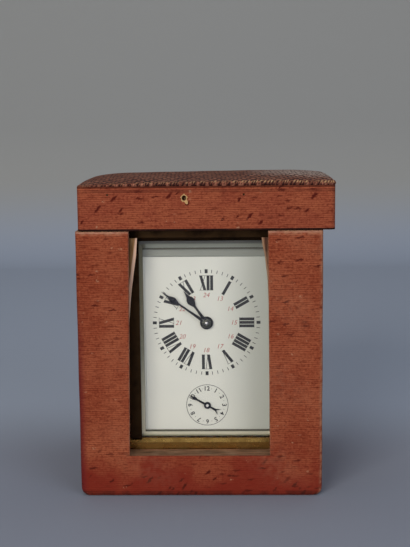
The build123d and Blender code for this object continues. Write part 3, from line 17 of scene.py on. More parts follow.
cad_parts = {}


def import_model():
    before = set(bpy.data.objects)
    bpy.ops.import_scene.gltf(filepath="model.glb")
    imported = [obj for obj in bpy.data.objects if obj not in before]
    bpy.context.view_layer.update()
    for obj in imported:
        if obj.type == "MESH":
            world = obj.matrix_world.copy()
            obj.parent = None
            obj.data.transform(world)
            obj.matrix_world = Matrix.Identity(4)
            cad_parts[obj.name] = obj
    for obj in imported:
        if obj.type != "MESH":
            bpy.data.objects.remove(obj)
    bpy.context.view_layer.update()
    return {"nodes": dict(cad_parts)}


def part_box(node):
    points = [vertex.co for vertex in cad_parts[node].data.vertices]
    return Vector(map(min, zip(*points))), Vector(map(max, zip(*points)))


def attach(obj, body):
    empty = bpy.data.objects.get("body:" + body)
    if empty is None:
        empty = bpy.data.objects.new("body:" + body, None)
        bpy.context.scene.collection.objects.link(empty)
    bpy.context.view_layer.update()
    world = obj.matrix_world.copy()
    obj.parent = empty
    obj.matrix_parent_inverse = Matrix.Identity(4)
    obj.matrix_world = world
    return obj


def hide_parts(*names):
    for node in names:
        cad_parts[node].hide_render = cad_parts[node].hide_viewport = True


MM = 0.001
LOG = logging.getLogger("travelling_clock")
AXES = "XYZ"
QUARTER = math.pi / 2
FULL = 2 * math.pi
Pair = tuple[float, float]
Point = tuple[float, float, float]
Shape = tuple[np.ndarray, np.ndarray | list]
Socket = bpy.types.NodeSocket


class Body(Enum):
    """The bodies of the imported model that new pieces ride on."""

    CASE = "case"
    LID = "lid"
    MINUTE = "minute"
    ALARM_SETTING = "alarm_setting"


class Slot(Enum):
    """The record's material slots that new pieces use."""

    CASE_LEATHER = "case_leather"
    LID_LEATHER = "lid_leather"
    LINING = "lining"
    ENAMEL = "enamel"
    BLACK_STEEL = "black_steel"
    BLUE_STEEL = "blue_steel"
    STEEL = "steel"
    GILT_BRASS = "gilt_brass"
    HINGE_BRASS = "hinge_brass"


class Kind(Enum):
    """Shader nodes: Blender's name, the output read, the inputs in order and fixed settings."""

    SHADER = ("BsdfPrincipled", 0, ("Base Color", "Roughness", "Metallic"), {})
    CLEAR = ("BsdfTransparent", 0, ("Color",), {})
    EITHER = ("MixShader", 0, (0, 1, 2), {})
    SURFACE = ("OutputMaterial", 0, ("Surface",), {})
    PLACE = ("TexCoord", "Object", (), {})
    X = ("SeparateXYZ", "X", (0,), {})
    Y = ("SeparateXYZ", "Y", (0,), {})
    Z = ("SeparateXYZ", "Z", (0,), {})
    RED = ("SeparateColor", 0, (0,), {})
    WEAR = ("Attribute", "Fac", (), {"attribute_name": "wear"})
    RAYS = ("LightPath", "Is Shadow Ray", (), {})
    MAPPING = ("Mapping", 0, ("Vector", "Rotation", "Scale"), {})
    NOISE = ("TexNoise", "Fac", ("Vector", "Scale", "Detail"), {"Roughness": 0.55})
    JITTER = ("TexNoise", "Color", ("Vector", "Scale"), {})
    CELLS = ("TexVoronoi", "Distance", ("Vector", "Scale"), {})
    BANDS = ("TexWave", "Fac", ("Vector", "Scale", "Distortion", "Detail", "Detail Scale"),
             {"wave_type": "BANDS"})
    STEP = ("MapRange", "Result", ("Value", "From Min", "From Max", "To Min", "To Max"),
            {"interpolation_type": "SMOOTHSTEP"})
    MIX = ("Mix", 2, (0, 6, 7), {"data_type": "RGBA"})
    SUM = ("Math", 0, (0, 1), {"operation": "ADD"})
    LESS = ("Math", 0, (0, 1), {"operation": "SUBTRACT"})
    TIMES = ("Math", 0, (0, 1), {"operation": "MULTIPLY"})
    LARGER = ("Math", 0, (0, 1), {"operation": "MAXIMUM"})
    SIZE = ("Math", 0, (0,), {"operation": "ABSOLUTE"})
    SHIFT = ("VectorMath", 0, (0, 1, 2), {"operation": "MULTIPLY_ADD"})
    DISTANCE = ("VectorMath", "Value", (0, 1), {"operation": "DISTANCE"})
    BUMP = ("Bump", 0, ("Height", "Distance", "Strength"), {})


def linear(colour: str) -> tuple[float, float, float, float]:
    """Turns an sRGB hex colour into linear RGBA.

    Args:
        colour: Hex digits such as "#80412D".

    Returns:
        Red, green, blue and an alpha of one, in linear light.
    """
    parts = [int(colour.lstrip("#")[i:i + 2], 16) / 255 for i in (0, 2, 4)]
    light = [c / 12.92 if c <= 0.04045 else ((c + 0.055) / 1.055) ** 2.4 for c in parts]
    return (*light, 1.0)


def per(size: float) -> float:
    """The scale at which a noise's blobs are about this many millimetres wide."""
    return 1 / (size * MM)


def band_scale(spacing: float) -> float:
    """The scale at which Blender's bands, 20 radians to a unit, stand this many mm apart."""
    return FULL / (20 * spacing * MM)


class Coat:
    """A material in the making, with one shader and the object coordinates in metres."""

    def __init__(self, name: str, colour: str, roughness: float, metallic: float) -> None:
        """Starts the material.

        Args:
            name: The material's name.
            colour: Its main colour as hex.
            roughness: Its typical roughness.
            metallic: 1 for bare metal.
        """
        self.material = bpy.data.materials.new(name)
        self.material.use_nodes = True
        self.tree = self.material.node_tree
        self.tree.nodes.clear()
        self.shader = self.add(Kind.SHADER, colour, roughness, metallic)
        self.surface = self.add(Kind.SURFACE, self.shader)
        self.at = self.add(Kind.PLACE)

    def add(self, kind: Kind, *values: object, **settings: object) -> Socket:
        """Adds a node and fills its inputs in the order that its kind gives.

        Args:
            kind: The node's kind.
            values: Numbers, vectors, hex colours or output sockets.
            settings: Attributes of the node besides those of its kind.

        Returns:
            The output that the kind names, or the input of an end node.
        """
        name, output, inputs, fixed = kind.value
        made = self.tree.nodes.new("ShaderNode" + name)
        for key, value in {**fixed, **settings}.items():
            if key in made.inputs:
                made.inputs[key].default_value = value
            else:
                setattr(made, key, value)
        self.feed(made, dict(zip(inputs, values)))
        return made.outputs[output] if made.outputs else made.inputs[0]

    def feed(self, node: bpy.types.Node, values: dict) -> None:
        """Sets or links a node's inputs.

        Args:
            node: The node.
            values: Input names or numbers against numbers, hex colours or sockets.
        """
        for key, value in values.items():
            if isinstance(value, Socket):
                self.tree.links.new(value, node.inputs[key])
            else:
                node.inputs[key].default_value = linear(value) if isinstance(value, str) else value

    def tint(self, colour: Socket | str, to: Socket | str, value: Socket, low: float, high: float,
             start: float = 0.0, end: float = 1.0) -> Socket:
        """Mixes a second colour in as a value goes from low to high.

        Args:
            colour: The colour so far.
            to: The second colour.
            value: The value that is read.
            low: Where the step starts.
            high: Where it ends.
            start: Share of the second colour at the start.
            end: Its share at the end.

        Returns:
            The mixed colour.
        """
        return self.add(Kind.MIX, self.add(Kind.STEP, value, low, high, start, end), colour, to)

    def lay(self, colour: Socket, height: Socket | None = None, depth: float = 0.0,
            strength: float = 0.0, others: dict | None = None) -> None:
        """Feeds the shader its colour and a relief of a real depth.

        Args:
            colour: The base colour.
            height: Height of the relief from 0 to 1, or none for a smooth surface.
            depth: The relief's depth in mm.
            strength: How strongly the light shows it.
            others: Further inputs of the shader.
        """
        inputs = {"Base Color": colour, **(others or {})}
        if height is not None:
            inputs["Normal"] = self.add(Kind.BUMP, height, depth * MM, strength)
        self.feed(self.shader.node, inputs)


@dataclass(frozen=True)
class Finish:
    """A plain finish: its colour, typical roughness and whether it is metal."""

    name: str
    colour: str
    roughness: float = 0.5
    metallic: float = 0.0

    def material(self) -> bpy.types.Material:
        """Makes the material and paints it.

        Returns:
            The new material.
        """
        coat = Coat(self.name, self.colour, self.roughness, self.metallic)
        self.paint(coat)
        return coat.material

    def paint(self, coat: Coat) -> None:
        """Makes the gloss faintly cloudy, so that no surface is perfectly even.

        Args:
            coat: The material in the making.
        """
        cloud = coat.add(Kind.NOISE, coat.at, per(3.0), 3.0)
        rough = coat.add(Kind.STEP, cloud, 0.2, 0.8, self.roughness * 0.8,
                         min(1, self.roughness * 1.25))
        coat.feed(coat.shader.node, {"Roughness": rough})


@dataclass(frozen=True)
class Stripe:
    """A worn or shaded stripe at one height: middle, half width, colour and strength."""

    z: float
    half: float
    colour: str
    strength: float
    patchy: float = 0.25


@dataclass(frozen=True)
class RibbedCloth(Finish):
    """Red bookbinder's cloth on boards: fine level ribs, slanted scuffs, pale bare threads.

    The real ribs stand about 0.6 mm apart. They are drawn 0.95 mm apart, because finer ones
    don't show in the picture. Scuffs thin out in the calm band of heights. A piece that
    reaches down to the floor is soiled below and has painted shade down its left edge.
    """

    pale: str = "#A55A3C"
    deep: str = "#62200F"
    scuff: str = "#52160B"
    thread: str = "#B98668"
    soil: str = "#792316"
    soil_z: Pair = (26.0, 4.0)
    # Painted shade down the left edge: its colour, and the x and the heights over which it fades in
    shade: str = "#661A1C"
    painted_shade_x: Pair = (-50.0, -53.2)
    painted_shade_z: Pair = (90.0, 55.0)
    on_floor: bool = True
    rib: float = 0.95
    calm: Pair = (20.0, 70.0)
    stripes: tuple[Stripe, ...] = ()

    def dashes(self, coat: Coat, at: Socket, slant: float, length: float, width: float,
               kept: float) -> Socket:
        """Short dashes, one in each kept cell of a stretched cell pattern.

        Args:
            coat: The material in the making.
            at: Coordinates in metres.
            slant: How steeply the dashes rise to the right on the front, in degrees.
            length: Cell length along the dash in mm.
            width: Cell width across it in mm.
            kept: Random value above which a cell has a dash.

        Returns:
            1 in a dash and 0 outside.
        """
        stretched = coat.add(Kind.MAPPING, at, (0, math.radians(-slant), 0),
                             (length * MM, length * MM, width * MM), vector_type="TEXTURE")
        cells = coat.add(Kind.CELLS, stretched, 1.0)
        picked = coat.add(Kind.RED, cells.node.outputs["Color"])
        return coat.add(Kind.TIMES, coat.add(Kind.STEP, cells, 0.34, 0.14),
                        coat.add(Kind.STEP, picked, kept, kept + 0.04))

    def dyed(self, coat: Coat, ribs: Socket, slubs: Socket, weave: Socket) -> Socket:
        """The cloth's colour: dye clouds, long slubs, painted rib shadows, weave specks, soil and
        painted shade down the left edge.

        Args:
            coat: The material in the making.
            ribs: Height of the ribs.
            slubs: Noise of the long uneven threads.
            weave: Fine noise.

        Returns:
            The colour.
        """
        dye = coat.add(Kind.NOISE, coat.at, per(15.0), 3.0)
        colour = self.colour
        for value, low, high, most, to in (
                (dye, 0.36, 0.68, 0.80, self.pale), (slubs, 0.46, 0.70, 0.50, self.pale),
                (slubs, 0.50, 0.30, 0.70, self.deep), (ribs, 0.60, 0.10, 0.40, self.deep),
                (weave, 0.50, 0.30, 0.62, self.deep), (weave, 0.54, 0.70, 0.60, self.pale)):
            colour = coat.tint(colour, to, value, low, high, 0.0, most)
        if not self.on_floor:
            return colour
        soil, side, height = ([v * MM for v in p] for p in (self.soil_z, self.painted_shade_x, self.painted_shade_z))
        ragged = coat.add(Kind.SUM, coat.add(Kind.STEP, dye, 0.3, 0.7, -6 * MM, 6 * MM),
                          coat.add(Kind.Z, coat.at))
        colour = coat.tint(colour, self.soil, ragged, *soil, 0.0, 0.9)
        # Painted shade down the left edge, stronger further left and lower down
        edge = coat.add(Kind.TIMES, coat.add(Kind.STEP, coat.add(Kind.X, coat.at), *side, 0.0, 0.8),
                        coat.add(Kind.STEP, ragged, *height))
        return coat.add(Kind.MIX, edge, colour, self.shade)

    def scuffed(self, coat: Coat, colour: Socket) -> Socket:
        """Ragged dark scuffs and clusters of pale bare threads.

        Scuffs are thicker to the right and thin out in the calm band of heights. Steep ones
        keep to the part below it, or to the whole piece where no part of it is calm.

        Args:
            coat: The material in the making.
            colour: The colour so far.

        Returns:
            The scuffed colour.
        """
        at = coat.at
        height = coat.add(Kind.Z, at)
        shift = coat.add(Kind.SHIFT, coat.add(Kind.JITTER, at, per(1.3)), (1.6 * MM,) * 3, at)
        right = coat.add(Kind.STEP, coat.add(Kind.X, at), -30 * MM, 55 * MM, 0.25, 1.0)
        flocks = coat.add(Kind.STEP, coat.add(Kind.NOISE, at, per(17.0), 2.0), 0.44, 0.58, 0.12, 1.0)
        low, high = (v * MM for v in self.calm)
        above = coat.add(Kind.STEP, height, high - 12 * MM, high + 14 * MM, 0.12, 1.0)
        below = coat.add(Kind.STEP, height, low + 6 * MM, low - 4 * MM)
        busy = coat.add(Kind.LARGER, above, below)
        steep = below if high > 0 else busy
        right = coat.add(Kind.TIMES, coat.add(Kind.TIMES, right, flocks), busy)
        level = coat.add(Kind.TIMES, busy, 0.9)
        for slant, length, width, kept, share in (
                (44.0, 5.6, 2.3, 0.78, steep), (4.0, 7.6, 2.0, 0.76, level),
                (8.0, 6.4, 2.0, 0.56, right), (50.0, 8.0, 2.6, 0.86, steep)):
            mask = self.dashes(coat, shift, slant, length, width, kept)
            colour = coat.add(Kind.MIX, coat.add(Kind.TIMES, mask, share), colour, self.scuff)
        threads = self.dashes(coat, at, 0.0, 3.4, 2.6, 0.88)
        small = coat.add(Kind.STEP, coat.add(Kind.NOISE, at, per(0.7), 1.0), 0.52, 0.60, 0.0, 0.6)
        return coat.add(Kind.MIX, coat.add(Kind.TIMES, threads, small), colour, self.thread)

    def paint(self, coat: Coat) -> None:
        """Ribs by bands in Z, cloudy dye, dashes for scuffs, stripes, and wear from an attribute.

        Args:
            coat: The material in the making.
        """
        at = coat.at
        ribs = coat.add(Kind.BANDS, at, band_scale(self.rib), 1.9, 2.0, 1.5, bands_direction="Z")
        streaks = coat.add(Kind.MAPPING, at, (0, 0, 0), (0.15, 0.15, 1.0))
        slubs = coat.add(Kind.NOISE, streaks, per(0.8), 4.0)
        weave = coat.add(Kind.NOISE, at, per(1.0), 3.0)
        colour = self.scuffed(coat, self.dyed(coat, ribs, slubs, weave))
        for stripe in self.stripes:
            away = coat.add(Kind.SIZE, coat.add(Kind.LESS, coat.add(Kind.Z, at), stripe.z * MM))
            mask = coat.add(Kind.STEP, away, stripe.half * MM, stripe.half * 0.5 * MM)
            patches = coat.add(Kind.STEP, coat.add(Kind.NOISE, at, per(5.0), 4.0), 0.30, 0.60,
                               stripe.patchy, 1.0)
            share = coat.add(Kind.TIMES, coat.add(Kind.TIMES, mask, patches), stripe.strength)
            colour = coat.add(Kind.MIX, share, colour, stripe.colour)
        torn = coat.add(Kind.STEP, coat.add(Kind.NOISE, at, per(2.2), 4.0), 0.35, 0.62, 0.15, 0.85)
        rubbed = coat.add(Kind.TIMES, coat.add(Kind.WEAR), torn)
        colour = coat.add(Kind.MIX, rubbed, colour, self.thread)
        height = coat.add(Kind.SUM, coat.add(Kind.TIMES, ribs, 0.35),
                          coat.add(Kind.SUM, slubs, weave))
        coat.lay(colour, height, 0.25, 0.8, {
            "Sheen Weight": 0.03, "Sheen Roughness": 0.5, "Specular IOR Level": 0.14})


@dataclass(frozen=True)
class GrainedLeather(Finish):
    """Brown leather with a pressed diagonal grain, and a pale patch at the top right that is partly
    rubbed wear and partly painted sheen.

    The real grain is about 1 mm. It is drawn 2.8 mm wide so that it shows.
    """

    pale: str = "#A36B54"
    deep: str = "#2E100A"
    rubbed: str = "#D4C0B4"
    grain: float = 2.8
    stretch: float = 0.7
    rub_sheen_at: Point = (51.0, -5.0, 141.5)
    rub_sheen_size: float = 36.0

    def paint(self, coat: Coat) -> None:
        """Two crossed sets of bands make the grain, noise breaks it, and a pale patch of wear and painted
        sheen is laid on.

        Args:
            coat: The material in the making.
        """
        at = coat.at
        sets = []
        for turn in (38.0, -44.0):
            crossed = coat.add(Kind.MAPPING, at, (0, 0, math.radians(turn)), (1.0, self.stretch, 1.0))
            sets.append(coat.add(Kind.BANDS, crossed, band_scale(self.grain), 3.2, 3.0, 1.6,
                                 bands_direction="X"))
        pits = coat.add(Kind.TIMES, *sets)
        dye = coat.add(Kind.NOISE, at, per(11.0), 4.0)
        colour = coat.tint(self.colour, self.pale, dye, 0.35, 0.68)
        worn = coat.add(Kind.STEP, coat.add(Kind.NOISE, at, per(16.0), 3.0), 0.36, 0.64, 0.30, 0.85)
        crests = coat.add(Kind.TIMES, coat.add(Kind.STEP, pits, 0.34, 0.62), worn)
        colour = coat.add(Kind.MIX, crests, colour, self.pale)
        # A pale patch at the top right: partly rubbed wear, partly painted sheen
        away = coat.add(Kind.DISTANCE, at, tuple(v * MM for v in self.rub_sheen_at))
        broken = coat.add(Kind.STEP, coat.add(Kind.NOISE, at, per(4.0), 4.0), 0.3, 0.7, -5 * MM, 5 * MM)
        colour = coat.tint(colour, self.rubbed, coat.add(Kind.SUM, away, broken),
                           self.rub_sheen_size * MM, self.rub_sheen_size * 0.25 * MM, 0.0, 0.85)
        colour = coat.tint(colour, self.deep, pits, 0.26, 0.08)
        coat.lay(colour, coat.add(Kind.SUM, pits, dye), 0.35, 0.9, {"Specular IOR Level": 0.22})


@dataclass(frozen=True)
class WornWood(Finish):
    """Bare or stained softwood: long grain in broad stains.

    A guide slat's inner edge is rubbed pale where |x| + slope (z - level) is under its edge.
    """

    deep: str = "#4A3322"
    pale: str = "#B79A77"
    along: Point = (0.06, 1.0, 1.0)
    pale_share: float = 0.35
    edge: float = 0.0
    edge_width: float = 1.1
    edge_tint: str = "#E6BFA4"
    slope: float = 0.147
    level: float = 112.0

    def paint(self, coat: Coat) -> None:
        """Noise stretched along the grain, with a second broad cloud for stains.

        Args:
            coat: The material in the making.
        """
        stretched = coat.add(Kind.MAPPING, coat.at, (0, 0, 0), self.along)
        grain = coat.add(Kind.NOISE, stretched, per(0.9), 4.0)
        stain = coat.add(Kind.NOISE, coat.at, per(9.0), 3.0)
        colour = coat.tint(self.deep, self.colour, grain, 0.38, 0.62)
        colour = coat.tint(colour, self.pale, stain, 0.45, 0.75, 0.0, self.pale_share)
        if self.edge:
            away = coat.add(Kind.SUM, coat.add(Kind.SIZE, coat.add(Kind.X, coat.at)),
                            coat.add(Kind.TIMES, coat.add(Kind.Z, coat.at), self.slope))
            start = self.edge + self.slope * self.level
            colour = coat.tint(colour, self.edge_tint, away, (start + self.edge_width * 1.3) * MM,
                               (start + self.edge_width * 0.7) * MM)
        coat.lay(colour, grain, 0.12, 0.5)


@dataclass(frozen=True)
class PileCloth(Finish):
    """Dark brown cloth with a short pile, which shades softly with its fold."""

    deep: str = "#1C110B"

    def paint(self, coat: Coat) -> None:
        """Fine noise for the pile and a broad cloud for pressed places.

        Args:
            coat: The material in the making.
        """
        tuft = coat.add(Kind.NOISE, coat.at, per(0.7), 2.0)
        pressed = coat.add(Kind.NOISE, coat.at, per(13.0), 3.0)
        share = coat.add(Kind.TIMES, coat.add(Kind.STEP, tuft, 0.3, 0.7),
                         coat.add(Kind.STEP, pressed, 0.25, 0.75, 0.5, 1.0))
        colour = coat.add(Kind.MIX, share, self.deep, self.colour)
        coat.lay(colour, tuft, 0.2, 0.6, {"Sheen Weight": 0.08})


@dataclass(frozen=True)
class Metal(Finish):
    """Brass or steel with a thin uneven tarnish and fine lines from the cutter or the buff."""

    tarnish: str = "#6E4F24"
    tarnish_share: float = 0.35
    patch: float = 7.0
    lines_along: Point = (0.05, 1.0, 1.0)
    line_depth: float = 0.01

    def paint(self, coat: Coat) -> None:
        """Cloudy tarnish in colour and roughness, stretched noise for the buff's lines.

        Args:
            coat: The material in the making.
        """
        cloud = coat.add(Kind.NOISE, coat.at, per(self.patch), 5.0)
        stretched = coat.add(Kind.MAPPING, coat.at, (0, 0, 0), self.lines_along)
        lines = coat.add(Kind.NOISE, stretched, per(0.5), 2.0)
        colour = coat.tint(self.colour, self.tarnish, cloud, 0.42, 0.72, 0.0, self.tarnish_share)
        rough = coat.add(Kind.SUM, coat.add(Kind.STEP, cloud, 0.3, 0.75, self.roughness * 0.75,
                                            self.roughness * 1.35),
                         coat.add(Kind.STEP, lines, 0.3, 0.7, -0.03, 0.03))
        coat.lay(colour, lines, self.line_depth, 0.3, {"Roughness": rough})


@dataclass(frozen=True)
class SilveredSlip(Finish):
    """Matt silvered brass with painted shade towards its top, at its left and at its foot,
    and a painted shadow of the cornice along its top edge.
    """

    # Painted shade: grey towards the top, greenish at the left and olive at the foot; then the cornice's
    # painted shadow along the top
    dull: str = "#969B8E"
    top_shade_z: Pair = (28.0, 80.0)
    stain: str = "#6E6A50"
    left_shade_x: Pair = (-24.0, -25.0)
    left_shade_z: Pair = (35.0, 95.0)
    foot: str = "#77745A"
    foot_shade_z: Pair = (24.7, 23.9)
    cornice_shadow: str = "#5C5C56"
    cornice_shadow_z: Pair = (111.0, 112.2)

    def paint(self, coat: Coat) -> None:
        """Height picks the painted shade and the painted shadow, and a fine cloud breaks the shade.

        Args:
            coat: The material in the making.
        """
        dull, left, up, down, head = ([v * MM for v in pair] for pair in (
            self.top_shade_z, self.left_shade_x, self.left_shade_z, self.foot_shade_z, self.cornice_shadow_z))
        height = coat.add(Kind.Z, coat.at)
        cloud = coat.add(Kind.STEP, coat.add(Kind.NOISE, coat.at, per(4.0), 3.0), 0.3, 0.7,
                         -6 * MM, 6 * MM)
        # Painted shade towards the top, at the left and at the foot, and the cornice's painted shadow at
        # the top edge
        colour = coat.tint(self.colour, self.dull, coat.add(Kind.SUM, height, cloud), *dull)
        side = coat.add(Kind.TIMES, coat.add(Kind.STEP, coat.add(Kind.X, coat.at), *left),
                        coat.add(Kind.STEP, height, *up, 0.1, 1.0))
        colour = coat.add(Kind.MIX, side, colour, self.stain)
        colour = coat.tint(colour, self.foot, height, *down)
        coat.lay(coat.tint(colour, self.cornice_shadow, height, *head))


@dataclass(frozen=True)
class PaneGlass(Finish):
    """Clear old glass, bevelled and polished. Lamp light passes it, so the dial stays lit."""

    ior: float = 1.5

    def paint(self, coat: Coat) -> None:
        """Glass for sight and mirror rays, clear for shadow and diffuse rays.

        Args:
            coat: The material in the making.
        """
        coat.feed(coat.shader.node, {"Transmission Weight": 1.0, "IOR": self.ior})
        shadow = coat.add(Kind.RAYS)
        passing = coat.add(Kind.LARGER, shadow, shadow.node.outputs["Is Diffuse Ray"])
        both = coat.add(Kind.EITHER, passing, coat.shader, coat.add(Kind.CLEAR, self.colour))
        coat.tree.links.new(both, coat.surface)


@dataclass(frozen=True)
class FiredEnamel(Finish):
    """Cream white enamel fired on copper: glossy, faintly uneven, with painted shade towards its right.
    """

    shade: str = "#E6E7DC"
    right_shade: str = "#C8CDC2"
    right_shade_x: Pair = (2.0, 34.0)

    def paint(self, coat: Coat) -> None:
        """A faint broad cloud in colour, painted shade towards the right, and a slow ripple in the glaze.

        Args:
            coat: The material in the making.
        """
        cloud = coat.add(Kind.NOISE, coat.at, per(18.0), 2.0)
        colour = coat.tint(self.colour, self.shade, cloud, 0.3, 0.7, 0.0, 0.5)
        # Painted shade: greyer towards the right
        colour = coat.tint(colour, self.right_shade, coat.add(Kind.X, coat.at), *(v * MM for v in self.right_shade_x))
        coat.lay(colour, cloud, 0.05, 0.2, {"Coat Weight": 0.4, "Coat Roughness": 0.08})


@dataclass(frozen=True)
class BraidThread(Finish):
    """Twisted edging braid: dark brown thread whose crests are tan, more to the right: rubbed wear
    and a painted highlight on the crests that face the light.
    """

    pale: str = "#B28A62"
    wear_x: Pair = (-45.0, 40.0)

    def paint(self, coat: Coat) -> None:
        """Noise picks the rubbed lengths, and an attribute marks the crests of the twist that face
        the light, for wear and painted highlight.

        Args:
            coat: The material in the making.
        """
        rubbed = coat.add(Kind.STEP, coat.add(Kind.NOISE, coat.at, per(3.0), 3.0), 0.38, 0.62, 0.1, 1.0)
        side = coat.add(Kind.STEP, coat.add(Kind.X, coat.at), *(v * MM for v in self.wear_x), 0.3, 1.0)
        share = coat.add(Kind.TIMES, coat.add(Kind.STEP, coat.add(Kind.WEAR), 0.35, 0.85),
                         coat.add(Kind.TIMES, rubbed, side))
        coat.lay(coat.add(Kind.MIX, share, self.colour, self.pale),
                 coat.add(Kind.NOISE, coat.at, per(0.4), 2.0), 0.1, 0.6)


@dataclass(frozen=True)
class StudioPaper(Finish):
    """Matt paper: a floor that is a little darker where it comes forward, and a grey backdrop."""

    near: str = "#888F9F"
    backdrop: str = "#A4A5A3"
    fade_y: Pair = (0.0, 120.0)
    rise_z: Pair = (0.0, 100.0)

    def paint(self, coat: Coat) -> None:
        """Depth fades the floor, and height turns it into the backdrop.

        Args:
            coat: The material in the making.
        """
        fade, rise = ([v * MM for v in pair] for pair in (self.fade_y, self.rise_z))
        floor = coat.tint(self.near, self.colour, coat.add(Kind.Y, coat.at), *fade)
        coat.lay(coat.tint(floor, self.backdrop, coat.add(Kind.Z, coat.at), *rise))


# Faded red cloth, bare along its rim, dark at its foot, with painted shade down its left edge
CASE_CLOTH = RibbedCloth("ribbed_case_cloth", "#8E4229", 0.85, stripes=(
    Stripe(118.5, 0.5, "#B98A78", 0.65), Stripe(1.2, 1.6, "#3A130D", 0.6)))
# The same cloth, scuffed all over, with a darker band near its top, painted shade under the braid, and a
# dark lower edge that is partly dirt and partly painted shade of the gap below the lid
LID_CLOTH = RibbedCloth(
    "ribbed_lid_cloth", "#914731", 0.85, on_floor=False, calm=(-90.0, -60.0), stripes=(
        Stripe(119.4, 0.9, "#1E0805", 1.0, 0.9), Stripe(136.4, 0.9, "#552418", 0.5),
        Stripe(138.2, 0.65, "#3A140B", 0.8, 0.8)))
# Dull brown skin with dark pits
LID_GRAIN = GrainedLeather("grained_lid_leather", "#773F2E", 0.75)
# A dark cord dotted with tan
BRAID = BraidThread("edging_braid", "#602C1C", 0.85)
# Torn pale leather, quite matt
TAN_FRAY = Finish("frayed_tan_leather", "#C09A66", 0.9)
# Olive brown wood with a pink tan edge on the left, darker on the right
LEFT_SLAT = WornWood("worn_left_slat", "#9C7546", 0.85, deep="#694820", pale="#C4A076",
                     along=(1.0, 1.0, 0.05), pale_share=0.6, edge=27.4)
RIGHT_SLAT = WornWood("worn_right_slat", "#80563C", 0.85, deep="#46281A", pale="#A98A6C",
                      along=(1.0, 1.0, 0.05), pale_share=0.6, edge=27.8,
                      edge_tint="#A88468", edge_width=0.7)
# Stained softwood, a dull brown streaked with darker grain
SILL_WOOD = WornWood("worn_sill_wood", "#8C6346", 0.85, deep="#54391F", pale="#A5866C")
# Plain softwood, paler than the sill, with its grain upright on the boards
BOARD_WOOD = WornWood("softwood_boards", "#9C7C56", 0.8, deep="#75583A", along=(1.0, 1.0, 0.05))
LID_WOOD = WornWood("softwood_lid_frame", "#9C7C56", 0.8, deep="#75583A")
# A deep brown that swallows light
LINING_CLOTH = PileCloth("brown_pile_lining", "#452C20", 0.95)
# Brass darkened nearly black: partly tarnish, partly painted shade and dark painted reflection, with dull
# highlights
SHADED_BRASS = Metal("tarnished_shaded_brass", "#43311F", 0.42, 1.0, tarnish="#1E1510", tarnish_share=0.85, patch=10)
# A soft grey band of light round the dial, its inner line of painted shadow, and the plain strip above,
# grey with painted shade
SILVERED = SilveredSlip("silvered_bevel", "#C6C1AA", 0.3)
REBATE_SHADOW_LINE = Finish("rebate_shadow_line", "#484635", 0.7)
# A grey strip where the top of the dial lies in the lid's shade: its grey is painted shade
SILVERED_SHADE = Finish("painted_shade_flange", "#8B8F84", 0.45)
# Dark turned rings that catch thin highlights
COLLET = Metal("bronzed_collet", "#4C4D47", 0.35, 0.9, tarnish="#26261F", tarnish_share=0.6, patch=2.0)
# Warm bright brass, browned in patches
GILT = Metal("gilt_brass", "#BF9A58", 0.27, 1.0, tarnish="#6F4A1E", tarnish_share=0.5)
# The same brass unlacquered, duller and browner
HINGE = Metal("dull_hinge_brass", "#9C7C48", 0.42, 1.0, tarnish="#5A4022", tarnish_share=0.6)
# Yellow brass with upright lines from the grainer
PLATES = Metal("grained_plate_brass", "#D2A95C", 0.33, 1.0, tarnish="#A87C3A",
               lines_along=(1.0, 1.0, 0.05), line_depth=0.02)
# Paler bronze with a smooth sheen
BELL = Metal("turned_bell_metal", "#BFA46C", 0.3, 1.0, tarnish="#8A6A38")
# Grey mirror-like steel, and the light point of a pin's end
STEEL = Metal("polished_steel", "#A9A9AC", 0.25, 1.0, tarnish="#77746F", tarnish_share=0.3)
PIN_STEEL = Finish("bright_pin_end", "#D8D8D4", 0.5, 0.3)
# Near black and deep blue, both with a silky shine
BLACK = Metal("blackened_steel", "#1B1A20", 0.34, 0.7, tarnish="#0B0B0D", tarnish_share=0.5)
BLUE = Metal("blued_spring_steel", "#22305F", 0.28, 1.0, tarnish="#10142A", tarnish_share=0.5)
# Clear panes that mirror the room at their bevels
GLASS = PaneGlass("bevelled_glass", "#FFFFFF", 0.0)
# A glossy warm white ground
ENAMEL = FiredEnamel("cream_enamel", "#EEEFE2", 0.16)
# Figures fired on, black and a faded red, less glossy than the ground
INK = Finish("black_dial_enamel", "#08080A", 0.45)
RED_INK = Finish("red_dial_enamel", "#B5645B", 0.4)
# Even blue grey paper
PAPER = StudioPaper("studio_paper", "#A2ADC0", 0.9)

NODE_FINISH = {
    LEFT_SLAT: ("left_guide_slat",),
    RIGHT_SLAT: ("right_guide_slat",),
    SILL_WOOD: ("case_front_sill",),
    BOARD_WOOD: ("case_bottom_board", "case_left_board", "case_right_board", "case_back_board",
                 "case_left_jamb", "case_right_jamb"),
    LID_WOOD: ("lid_frame", "lid_top_board"),
    HINGE: ("hinge_case_halves", "hinge_lid_halves"),
    GILT: ("clock_base", "bail_handle", "bail_posts"),
    SHADED_BRASS: ("clock_cornice", "clock_pillars", "rear_door_frame"),
    GLASS: ("front_glass", "side_glasses", "top_glass", "rear_door_glass"),
    ENAMEL: ("dial_plate",),
    BLACK: ("hour_hand", "minute_hand", "alarm_hand"),
    PLATES: ("front_plate", "back_plate", "plate_pillars", "platform_plate", "minute_wheel",
             "hour_wheel", "idler_wheel", "alarm_wheel", "spring_barrel", "centre_wheel",
             "third_wheel", "contrate_wheel", "escape_wheel", "balance_wheel", "balance_cock",
             "lever_bridge", "alarm_drum"),
    STEEL: ("cannon_pinion", "barrel_arbor", "click", "lever", "alarm_arbor", "alarm_hammer"),
    BELL: ("alarm_bell",),
}


def box_mm(node: str) -> tuple[np.ndarray, np.ndarray]:
    """A CAD node's lowest and highest corner in millimetres."""
    low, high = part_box(node)
    return np.array(low) / MM, np.array(high) / MM


